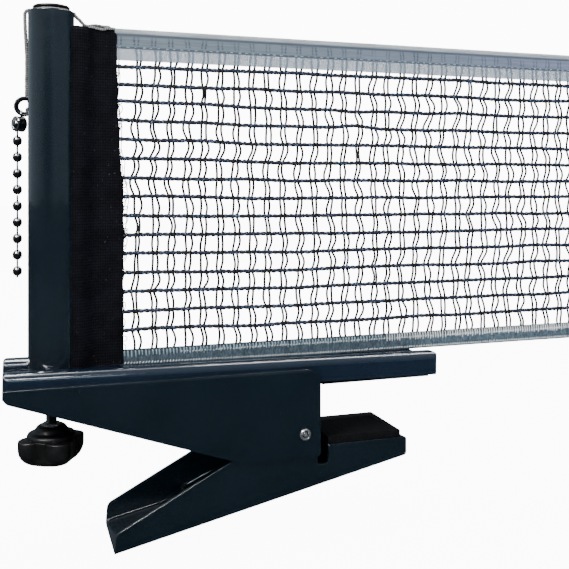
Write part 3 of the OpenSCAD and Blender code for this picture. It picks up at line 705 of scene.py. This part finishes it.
def sleeveLoops():  # threads that have worked loose along the free edge
    dice = random.Random(sleeve["loopSeed"])
    paths = []
    for i in range(sleeve["loops"]):
        z = dice.uniform(18, 158)
        x = sleeveEdge(z) - 0.3
        size, tall = dice.uniform(0.6, 2.2), dice.uniform(1.2, 5.5)
        paths.append(smoothPath([spot(x, dice.uniform(-1, 0.5), z), spot(x + size, -0.4, z - tall * 0.25),
                                 spot(x + size * 0.8, 0.1, z - tall * 0.8), spot(x, 0.3, z - tall)], 3))
    for start, end, out in sleeve["hanging"]:  # long ones that hang beside it
        sway = wander(dice, *sleeve["sway"])
        drift = wander(dice, *sleeve["drift"])
        steps = int((start - end) / 1.5)
        path = []
        for i in range(steps + 1):
            z = start - (start - end) * i / steps
            x = sleeveEdge(z) + out * sin(pi * i / steps) ** 0.4 - 0.4 + sway(z) + drift(z)
            path.append(spot(x, -0.5, z))
        paths.append(path)
    return strands(paths, sleeve["thread"], 5)


netSleeve = settle(sleeveSkin(), "net_sleeve", "post", "sleeveCloth", ["end_sleeve"], 70)
sleeveThreads = settle(sleeveLoops(), "sleeve_threads", "post", "netThread", (), 80)
print("sleeve on")

# The tension cord: from the net's top round the cap's neck and down to the ring
cord = {"radius": 0.85, "rim": 10.0, "wrap": 5.85, "rimTop": 170.2, "from": -36, "to": -126,
        "play": 0.1, "bulge": (9.0, -1.6, 2.25), "ring": (-11.34, 8.6, 128.9), "ringSize": 8.5,
        "tails": (((15.2, -1.4, 164.9), (16.6, -1.9, 165.2), (18.9, -1.6, 165.7), (22.2, -1.4, 165.4),
                   (24.6, -1.3, 165.1), (26.9, -0.6, 164.8), (29.5, 0, 164.5)),
                  ((15.6, -3.4, 164.3), (17.4, -2.9, 164.5), (20, -2.3, 164.1), (22.4, -2.25, 163.9),
                   (24.4, -2.2, 164.4), (26.9, -1.2, 164.5), (29.2, -0.2, 164.2)))}


def cordRoute():
    rimTop, wrap = cord["rimTop"], cord["wrap"]
    lift = cord["radius"] + cord["play"]
    run = sqrt(cord["rim"] ** 2 - wrap ** 2)
    top = net["top"] + cord["radius"]
    points = [(25.5, 0.1, top - 0.5), (22, 0.2, top - 0.55), (18, 0.7, top - 0.5), (14.8, 1.8, top - 0.2),
              (12.6, 2.7, top + 2.15)]
    toward, across = polar(1, cord["from"])
    x, y = wrap * toward - run * across, wrap * across + run * toward
    for tilt in (5, 45, 90):  # over the rim
        out, up = polar(lift, tilt)
        grow = 1 + out / hypot(x, y)
        points.append((x * grow, y * grow, rimTop + up))
    points += [(*polar(wrap, turn), rimTop + lift) for turn in range(cord["from"], cord["to"] - 1, -10)]
    bulgeX, bulgeZ, bulgeSize = cord["bulge"]
    for tilt in (90, 65, 40, 15):
        out, up = polar(bulgeSize, tilt)
        points.append((-bulgeX - out, 0.1, rimTop + bulgeZ + up))
    ringX, ringY, ringZ = cord["ring"]
    points += [(-11.2, 0.2, rimTop - 3.6), (-11.0, 1.0, rimTop - 8), (-10.7, 2.4, 156.5),
               (-10.35, 4.0, 150), (ringX + 0.95, ringY - 1.2, ringZ + 10),
               (ringX + 1.0, ringY, ringZ + cord["ringSize"] / 2 - 0.1)]
    return smoothPath([spot(*p) for p in points], 8)


def cordTails():  # the cord comes out of the tape doubled
    return [smoothPath([spot(*p) for p in line], 8) for line in cord["tails"]]


settle(strands([cordRoute()], cord["radius"], 12, 3, 3.0, 0.22, 4), "tension_cord_braid", "post",
       "cordCotton", ["tension_cord"], 80)
settle(strands(cordTails(), 0.58, 8, 2, 2.0, 0.3, 6), "cord_tails", "post", "cordCotton",
       (), 80)
print("cord tied")


# Sheet metal plates
def roundedOutline(corners, steps=8):  # corners are (x, z, radius)
    out = []
    for i, (x, z, r) in enumerate(corners):
        here = Vector((x, z))
        before = Vector(corners[i - 1][:2])
        after = Vector(corners[(i + 1) % len(corners)][:2])
        u, v = (before - here).normalized(), (after - here).normalized()
        half = u.angle(v) / 2
        middle = here + (u + v).normalized() * r / sin(half)
        a = here + u * r / tan(half) - middle
        b = here + v * r / tan(half) - middle
        start = atan2(a.y, a.x)
        turn = (atan2(b.y, b.x) - start + 3 * pi) % (2 * pi) - pi
        for k in range(steps + 1):
            angle = start + turn * k / steps
            out.append(middle + r * Vector((cos(angle), sin(angle))))
    return out


cheek = {"top": 8.6, "heel": 3.6, "back": -20.5, "lip": 119.7, "drop": -32, "slope": 19,
         "inner": 20, "thick": 1.5, "edge": 0.12}


def plate(outline, yFrom, yTo, edge):
    # A disc whose rim is laid on the outline, extruded to its thickness and bevelled
    blank()
    bpy.ops.mesh.primitive_circle_add(vertices=len(outline), fill_type="NGON")
    obj = bpy.context.object
    for vertex, (x, z) in zip(obj.data.vertices, outline):
        vertex.co = spot(x, yFrom, z)
    openUp(obj, "SELECT")
    bpy.ops.mesh.extrude_region_move(TRANSFORM_OT_translate={"value": (0, (yTo - yFrom) / 1000, 0)})
    faceOut()
    pick(obj, "edges", lambda e: len(e.link_faces) == 2 and e.calc_face_angle(0) > 1.2
         and abs(e.verts[0].co.y - e.verts[1].co.y) < 1e-7)
    bpy.ops.mesh.bevel(offset=edge / 1000, segments=3, affect="EDGES")
    close()
    return obj


def cheekOutline():
    top, heel, back, lip, drop = (cheek[key] for key in ("top", "heel", "back", "lip", "drop"))
    cornerX = (heel - drop) / tan(radians(cheek["slope"])) + back
    corners = [(back, top, 1), (back, heel, 4), (cornerX, drop, 10), (lip, drop, 1.5), (lip, top, 7)]
    return roundedOutline(corners)


for side, name in ((-1, "front_cheek"), (1, "rear_cheek")):
    faces = sorted((side * cheek["inner"], side * (cheek["inner"] + cheek["thick"])))
    settle(plate(cheekOutline(), *faces, cheek["edge"]), name + "_plate", "bracket",
           "cheekPaint", [name], 35)
print("cheeks cut")


# The knob: rings drawn up from a circle, with four lobes
def lathe(profile, count):  # profile is (radius, height) from one end to the other, about Z
    blank()
    radius, height = profile[0]
    bpy.ops.mesh.primitive_circle_add(vertices=count, radius=radius / 1000, location=(0, 0, height / 1000),
                                      fill_type="NGON")
    obj = bpy.context.object
    bpy.ops.object.transform_apply(location=True)
    openUp(obj, "SELECT")
    bpy.ops.mesh.select_mode(type="EDGE")
    for (r0, z0), (r1, z1) in zip(profile, profile[1:]):
        bpy.ops.mesh.extrude_region_move(TRANSFORM_OT_translate={"value": (0, 0, (z1 - z0) / 1000)})
        scale = r1 / r0
        bpy.ops.transform.resize(value=(scale, scale, 1), center_override=(0, 0, z1 / 1000))
    faceOut()
    close()
    return obj


knob = {"size": 14.8, "lobe": 5.5, "core": 10.36, "turn": 18, "waist": -17.6, "still": 8, "valley": 0.8,
        "wall": -21.5, "belly": 7,
        "hub": [(3.2, -13.58), (4.75, -13.58), (4.78, -12.6), (5.0, -12.3), (5.5, -12.3), (6.3, -12.8),
                (7.0, -13.8), (7.35, -14.7), (7.7, -15.15), (9.2, -15.4), (10.1, -15.8), (10.5, -16.5),
                (10.6, -17.5)],
        "brim": [(11.2, -17.66), (13.4, -17.7), (14.4, -17.76), (14.68, -17.88), (14.8, -18.2), (14.8, -19.8),
                 (14.8, -21.5)],
        "foot": [(6.2, -28.5), (5.6, -28.2), (4.2, -27.9), (0.6, -27.9)]}


def knobReach(a):  # how far the side stands from the axis at this angle
    lobe, valley = knob["lobe"], knob["valley"]
    reach = knob["size"] - lobe
    t = radians(abs((degrees(a) - knob["turn"] + 45) % 90 - 45))
    far = lobe / max(sin(t), 1e-9)
    if reach * sin(t) < lobe:
        far = min(far, reach * cos(t) + sqrt(lobe ** 2 - (reach * sin(t)) ** 2))
    # The valley where a lobe meets the core is rounded
    return min(valley * log(exp(far / valley) + exp(knob["core"] / valley)), knob["size"])


def knobBody():
    size, still = knob["size"], knob["still"]
    under = []
    for turn in (12, 24, 36, 48, 60, 72, 84, 90):
        out, down = polar(knob["belly"], turn)
        under.append((size - knob["belly"] + out, knob["wall"] - down))
    obj = lathe(knob["hub"] + knob["brim"] + under + knob["foot"], 120)
    for vertex in obj.data.vertices:
        x, y, z = vertex.co * 1000
        r = hypot(x, y)
        if z <= knob["waist"] and r >= still:  # the side goes to the outline, the middle stays
            a = atan2(y, x)
            r = still + (knobReach(a) - still) * (r - still) / (size - still)
            vertex.co.x, vertex.co.y = cos(a) * r / 1000, sin(a) * r / 1000
    return turned(obj, spot(0, 0, 0))


settle(knobBody(), "knob_body", "knob", "knobPlastic", ["adjust_knob"], 50)

# The cap that closes the post, with the cord's neck under its head; heights are above the rim
cap = {"rim": 170.2, "profile": [
    (3, -4.4), (8.3, -4.4), (8.44, -4), (8.45, 0.02), (9.3, 0.03), (9.82, 0.12), (9.75, 0.35), (8.9, 0.85),
    (8.1, 1.08), (7.4, 1.1), (6.95, 0.95), (6.9, 0.1), (6.7, 0.02), (5.2, 0.02), (5, 0.2), (5, 1.5),
    (5.3, 1.7), (7.6, 1.72), (7.95, 1.85), (8, 2.1), (7.95, 2.5), (7.6, 2.82), (7, 2.96), (5.6, 3),
    (5.2, 2.9), (4.8, 2.86), (0.5, 2.86)]}
capBody = turned(lathe([(r, cap["rim"] + z) for r, z in cap["profile"]], 72), spot(0, 0, 0))
settle(capBody, "cap_body", "post", "capPlastic", ["post_cap"], 45)
print("knob and cap moulded")

# The ring, its barrel connector and the ball chain
ring = {"size": 3.95, "inner": 2.95, "wire": 0.62, "start": 60, "step": 5, "count": 144, "cross": (52, 40),
        "apart": 0.9, "rise": 0.25}


def splitRing():  # two turns of wire side by side
    x, y, z = cord["ring"]
    path = []
    for i in range(ring["count"] + 1):
        over = eased(held((i - ring["cross"][0]) / ring["cross"][1]))
        radius = ring["size"] - (ring["size"] - ring["inner"]) * over
        out, up = polar(radius, ring["start"] + ring["step"] * i)
        path.append(spot(x + out, y + ring["apart"] * (over - 0.5), z + ring["rise"] + up))
    return strands([path], ring["wire"], 12)


settle(splitRing(), "ring_coil", "post", "ringWire", ["split_ring"], 60)

connector = {"middle": (-13.4, 8.7, 121.2), "out": 3.55, "wall": 0.6, "half": 2.25, "turn": 28,
             "mouth": (6.2, 1.9, 3.6), "mouthX": -1.6, "eye": (-12.69, 8.6, 125.35), "eyeRadius": 1.65,
             "eyeWire": 0.5}


def seated(piece):  # laid on its side, with a mouth along the plane that the chain swings in
    x, y, z = connector["middle"]
    turned(piece, spot(x, y, z), (0, radians(90), radians(connector["turn"])))
    blank()
    bpy.ops.mesh.primitive_cube_add(size=1, location=spot(x + connector["mouthX"], y, z - connector["out"]),
                                    scale=[size / 1000 for size in connector["mouth"]])
    cutter = bpy.context.object
    modify(piece, "BOOLEAN", object=cutter, operation="DIFFERENCE", solver="EXACT")
    bpy.data.objects.remove(cutter)
    return piece


def connectorBody():  # a short cup with an eye for the ring
    c = connector
    r, w, h = c["out"], c["wall"], c["half"]
    cup = seated(lathe([(0.3, h - w), (r - w - 0.2, h - w), (r - w, h - w - 0.2), (r - w, 0.2 - h),
                        (r - w + 0.15, -h), (r - 0.2, -h), (r, 0.2 - h), (r - 0.12, -0.9), (r - 0.12, 0.4),
                        (r, h - 0.9), (r - 0.15, h - 0.35), (r - 0.6, h), (0.3, h)], 48))
    blank()
    bpy.ops.mesh.primitive_torus_add(major_radius=c["eyeRadius"] / 1000, minor_radius=c["eyeWire"] / 1000,
                                     major_segments=32, minor_segments=10, location=spot(*c["eye"]),
                                     rotation=(0, radians(90), 0))
    return joined([cup, bpy.context.object])


def connectorLining():  # the bright bore that shows at the open end
    r, h = connector["out"] - connector["wall"] - 0.03, connector["half"]
    lining = lathe([(r - 0.25, h - 0.9), (r - 0.25, 0.5 - h), (r - 0.1, 0.3 - h), (r, 0.5 - h),
                    (r, h - 0.9)], 40)
    openUp(lining)
    pick(lining, "faces", lambda f: len(f.verts) > 4)
    bpy.ops.mesh.delete(type="ONLY_FACE")
    pick(lining, "edges", lambda e: e.is_boundary)
    bpy.ops.mesh.bridge_edge_loops()
    faceOut()
    close()
    return seated(lining)


settle(connectorBody(), "connector_cup", "connector", "blackNickel", ["chain_connector"])
settle(connectorLining(), "connector_bore", "connector", "brightNickel")

chain = {"x": -14.29, "y": 8.6, "top": 120.95, "pitch": 7.29, "ball": 2.1, "tall": 1.1, "waist": 0.965,
         "dent": 0.12, "link": 0.42, "pressed": 0.546, "clear": 2.4, "tail": 2.6, "upper": 4, "last": 9}


def chainBall():  # a rolled ball: a dent at each hole, and a seam
    r = chain["ball"] / 1000
    blank()
    bpy.ops.mesh.primitive_uv_sphere_add(segments=24, ring_count=16, radius=r)
    obj = bpy.context.object
    openUp(obj)
    for pole in (1, -1):
        pick(obj, "verts", lambda v: v.co.z * pole > r * 0.8 and hypot(v.co.x, v.co.y) < r * 0.25)
        bpy.ops.transform.translate(value=(0, 0, -pole * r * chain["dent"]))
    pick(obj, "edges", lambda e: all(abs(v.co.z) < 1e-7 for v in e.verts))
    bpy.ops.transform.resize(value=(chain["waist"], chain["waist"], 1), center_override=(0, 0, 0))
    bpy.ops.mesh.select_all(action="SELECT")
    bpy.ops.transform.resize(value=(1, 1, chain["tall"]), center_override=(0, 0, 0))
    close()
    return obj


def ballZ(i):
    return chain["top"] - i * chain["pitch"]


def chainPiece(first, last, linkTop, linkLow):
    master = chainBall()
    parts = []
    for i in range(first, last + 1):
        ball = master.copy()
        ball.data = master.data.copy()
        bpy.context.scene.collection.objects.link(ball)
        ball.location = spot(chain["x"], chain["y"], ballZ(i))
        parts.append(ball)
    bpy.data.objects.remove(master)
    thin, wide = chain["link"], chain["pressed"]
    rod = lathe([(thin, linkLow - 0.3), (wide, linkLow - 0.15), (wide, linkLow), (thin, linkLow + 0.2),
                 (thin, linkTop)], 12)
    rod.location = spot(chain["x"], chain["y"], 0)
    return joined(parts + [rod])


upper, last = chain["upper"], chain["last"]
settle(chainPiece(0, upper, ballZ(0), ballZ(upper)), "chain_upper_balls", "chain_top",
       "blackNickel", ["chain_upper"], 50)
settle(chainPiece(upper + 1, last, ballZ(upper) - chain["clear"], ballZ(last) - chain["tail"]),
       "chain_lower_balls", "chain_end", "blackNickel", ["chain_lower"], 50)
print("chain hung")

# The spring: two coils and one long U, from the arm to the handle
spring = {"wire": 1.0, "coil": 6.2, "turns": 4, "lowAngle": 28.5, "low": 28, "tipAngle": 23.3, "tip": 32,
          "upAngle": 29, "up": 46, "out": 15.5, "pitch": 2.15, "bar": 4, "count": 150}
pivot = {"x": 112, "z": -21.3, "face": 21.5,  # ends are (radius, how far out of the face)
         "front": [(0.2, 0.45), (0.7, 0.4), (1.0, 0.1), (1.2, -0.15), (1.5, -0.05), (1.7, 0.65), (1.85, 0.9),
                   (2.1, 0.98), (2.4, 0.85), (2.65, 0.5), (2.78, 0.2), (2.75, 0.02), (2.5, 0.01)],
         "rear": [(2.5, 0.01), (3.9, 0.02), (4.0, 0.3), (3.7, 0.75), (3.1, 1.0), (2.75, 1.1), (2.6, 0.85),
                  (2.45, 1.1), (1.6, 1.18), (0.3, 1.2)]}


def springPath(side):
    s = spring
    count = s["count"]

    def coil(angle, y):
        out, up = polar(s["coil"], angle)
        return pivot["x"] + out, y, pivot["z"] + up

    def leg(start, length, angle, shares):  # back and down from the start
        out, up = polar(1, angle)
        return [(start[0] - length * t * out, start[1], start[2] - length * t * up) for t in shares]

    upStart, lowStart = 90 - s["upAngle"], s["lowAngle"] - 90
    turn = 360 * s["turns"] + upStart - lowStart
    inner = s["out"] - s["pitch"] * turn / 360
    points = leg(coil(upStart, side * inner), s["up"], -s["upAngle"], (1, 0.98, 0.75, 0.5, 0.25, 0.08))
    points += [coil(upStart - turn * i / count, side * (inner + (s["out"] - inner) * i / count))
               for i in range(count + 1)]
    elbow = leg(points[-1], s["low"], s["lowAngle"], [1])[0]
    points += leg(points[-1], s["low"], s["lowAngle"], (0.06, 0.3, 0.6, 0.85, 0.95))
    points += leg(elbow, s["tip"], s["tipAngle"], (0.05, 0.25, 0.5, 0.75))
    for a in range(0, 90, 15):  # round the corner into the bar
        out, up = polar(s["bar"], a)
        x, y, z = leg(elbow, s["tip"] - s["bar"] + up, s["tipAngle"], [1])[0]
        points.append((x, side * (s["out"] - s["bar"] + out), z))
    return points


springWire = strands([[spot(*p) for p in springPath(-1) + springPath(1)[::-1]]], spring["wire"], 12)
only(springWire)
bpy.ops.object.shade_smooth_by_angle(angle=radians(60))
springWire.name = springWire.data.name = "spring_wire"
coat(springWire, "springWire")
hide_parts("torsion_spring")
spot(112, 0, -15)
spot(112, 0, -28)
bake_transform(springWire)
print("spring wound")

# A hollow-ended pin in front, a pressed cap behind
pivotProfile = ([(r, -pivot["face"] - out) for r, out in pivot["front"]]
                + [(r, pivot["face"] + out) for r, out in pivot["rear"]])
pivotRivet = turned(lathe(pivotProfile, 48), spot(pivot["x"], 0, pivot["z"]), (radians(-90), 0, 0))
settle(pivotRivet, "pivot_rivet", "bracket", "zincPlate", ["pivot_pin", "pivot_cap"])

screw = {"radius": 2.5, "pitch": 0.8, "depth": 0.32, "tip": -25.6, "from": -14.2, "to": 5.0, "step": 0.2,
         "shoulder": 41.9, "journal": 2.0, "end": 46.9}


def heightScrew():
    radius, tip, journal, shoulder, end, low, high = (
        screw[key] for key in ("radius", "tip", "journal", "shoulder", "end", "from", "to"))
    count = int(round((high - low) / screw["step"]))
    profile = [(0.4, tip), (2.0, tip + 0.02), (radius, tip + 0.6)]
    profile += [(radius, low + (high - low) * i / count) for i in range(count + 1)]
    profile += [(radius, shoulder), (journal, shoulder + 0.02), (journal, end - 0.3), (journal - 0.3, end),
                (0.4, end)]
    obj = lathe(profile, 24)
    for vertex in obj.data.vertices:  # the rings between low and high become a thread
        x, y, z = (c * 1000 for c in vertex.co)
        if low < z < high:
            run = z / screw["pitch"] - atan2(y, x) / (2 * pi)
            r = radius - screw["depth"] * abs(2 * (run - floor(run)) - 1)
            vertex.co.x, vertex.co.y = x * r / radius / 1000, y * r / radius / 1000
    return turned(obj, spot(0, 0, 0))


settle(heightScrew(), "screw_thread", "knob", "turnedSteel", ["height_screw"], 30)
print("pin and screw turned")

# CAD pieces that keep their own shape, and those that new pieces stand for
carried = {
    "armPaint": ["upper_arm"], "postPaint": ["post_tube"],
    "clampPaint": ["jaw_lever", "bridge_plate", "front_cheek", "rear_cheek"],
    "padRubber": ["seat_pad", "jaw_pad"],
    "zincPlate": ["weld_nut", "pivot_pin", "pivot_cap", "post_plug", "ring_hook", "lock_nut"],
    "turnedSteel": ["post_guide", "pivot_bush", "net_rod", "height_screw"],
    "springWire": ["screw_clip", "torsion_spring"],
    "blackNickel": ["chain_connector", "split_ring", "chain_upper", "chain_lower"],
    "washerNylon": ["pivot_washers"], "capPlastic": ["post_cap"], "knobPlastic": ["adjust_knob"],
    "sleeveCloth": ["end_sleeve"], "hemCloth": ["top_tape", "far_hem"], "netThread": ["net_mesh"],
    "footCloth": ["foot_band"], "cordCotton": ["tension_cord"],
}
for finish, names in carried.items():
    for name in names:
        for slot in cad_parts[name].material_slots:
            slot.material = finishes[finish]
print("carried pieces painted")

# Floor and light
studio = {"floor": -0.0672, "size": 14, "pale": (0.88, 0.885, 0.89), "seen": 12, "lifted": 18, "lift": 0.6,
          "felt": 1.0, "mirrored": 1.0}
white = (1, 1, 1)


def lay(name, height, material):
    blank()
    bpy.ops.mesh.primitive_plane_add(size=studio["size"], location=(0, 0, height))
    sheet = bpy.context.object
    sheet.name = name
    sheet.data.materials.append(material)
    return sheet


def paleFloor():  # brighter to the eye than in the light that it gives back
    f = Finish("studioFloor")
    pale = f.mix(f.noise(2), studio["pale"], (0.9, 0.9, 0.9))
    glow = f.add("ShaderNodeEmission", inputs={"Color": white, "Strength": studio["lifted"]})
    direct = f.add("ShaderNodeLightPath", output="Is Camera Ray")
    felt = f.surface(Base_Color=pale, Roughness=0.9, Specular_IOR_Level=0.1)
    return f.output(f.add("ShaderNodeMixShader", inputs={0: direct * studio["lift"], 1: felt, 2: glow}))


lay("studio_floor", studio["floor"], paleFloor())
flag = lay("dark_flag", studio["floor"] + 0.0004, Finish("darkFlag").skin(  # for reflections only
    Base_Color=(0.02, 0.022, 0.025), Roughness=0.9, Specular_IOR_Level=0.05))
flag.visible_camera = flag.visible_diffuse = flag.visible_shadow = flag.visible_transmission = False

lamps = {  # place, target, size and power
    "felt": {
        "overhead": ((0.0, 0.12, 1.0), (-0.02, 0.02, 0.0), (1.2, 0.5), 15),
        "leftSoftbox": ((-0.95, -0.75, 0.6), (-0.08, 0, 0.06), (0.6, 0.9), 8),
        "rightSoftbox": ((0.8, -0.8, 0.5), (0, 0, 0.03), (0.7, 0.7), 6),
        "rearSoftbox": ((0.1, 1.1, 0.7), (0, 0, 0.05), (1.2, 0.6), 8)},
    "mirrored": {  # seen only in gloss
        "overheadGlossLeft": ((-0.325, 0.12, 1.0), (-0.325, 0.02, 0.0), (0.55, 0.5), 6.9),
        "overheadGlossMiddle": ((0.045, 0.12, 1.0), (0.045, 0.02, 0.0), (0.19, 0.5), 1.0),
        "overheadGlossRight": ((0.37, 0.12, 1.0), (0.37, 0.02, 0.0), (0.46, 0.5), 5.8),
        "topStripLeft": ((-0.395, 0.10, 1.0), (-0.395, 0.02, 0.0), (0.69, 0.05), 13),
        "topStripRight": ((0.50, 0.10, 1.0), (0.50, 0.02, 0.0), (0.72, 0.05), 13),
        "rearStripLeft": ((-0.32, 0.34, 0.95), (-0.32, 0.02, 0.0), (0.72, 0.03), 5),
        "rearStripRight": ((0.405, 0.34, 0.95), (0.405, 0.02, 0.0), (0.53, 0.03), 3.9),
        "frontStrip": ((-0.45, -0.75, 0.85), (-0.08, 0, 0.0), (0.9, 0.06), 10),
        "lowStrip": ((-0.33, -1.0, 0.5), (-0.1, 0, -0.04), (0.75, 0.045), 1.7, (0.72, 0.91, 1.05)),
        "leftGlint": ((-0.62, -0.41, 0.71), (-0.13, 0, 0.0), (0.22, 0.40), 32)},
}


def softLight(name, mirrored, place, target, size, power, colour=white):
    bpy.ops.object.light_add(type="AREA", location=place)
    lamp = bpy.context.object
    lamp.name = name
    lamp.data.shape = "RECTANGLE"
    lamp.data.size, lamp.data.size_y = size
    lamp.data.energy, lamp.data.color = power, colour
    lamp.rotation_euler = (Vector(target) - Vector(place)).to_track_quat("-Z", "Y").to_euler()
    lamp.visible_diffuse, lamp.visible_glossy = not mirrored, mirrored


for use, group in lamps.items():
    for name, values in group.items():
        softLight(name, use == "mirrored", *values)


def studioSky():
    # White to the eye; what shines back from the pieces is a room with a dark gap behind the camera
    sky = Finish("studioSky", bpy.data.worlds)
    x, y, z = sky.split(sky.add("ShaderNodeTexCoord", output="Generated"))
    along, aside = polar(1, outlook["turn"])
    across = x * along + y * aside
    behind = x * aside - y * along
    left = (0 - across).above(0.20, 0.95) * 0.46
    right = across.above(0.12, 0.5) * behind.above(-0.38, -0.15) * 0.23
    glow = 0.06 + left + right + 0.5 * z.above(0.3, 0.95)
    shown = {"seen": white, "felt": (0.95, 0.98, 1.0),
             "mirrored": sky.mix(glow, (0, 0, 0), (0.80, 0.95, 1.08))}
    seen, felt, mirrored = (
        sky.add("ShaderNodeBackground", inputs={"Color": colour, "Strength": studio[name]})
        for name, colour in shown.items())
    path = sky.add("ShaderNodeLightPath", output="Is Camera Ray")
    indirect = sky.add("ShaderNodeMixShader", inputs={0: path.part("Is Glossy Ray"), 1: felt, 2: mirrored})
    direct = sky.add("ShaderNodeMixShader", inputs={0: path, 1: indirect, 2: seen})
    sky.add("ShaderNodeOutputWorld", inputs={"Surface": direct})
    return sky.material


bpy.context.scene.world = studioSky()
print("studio lit")
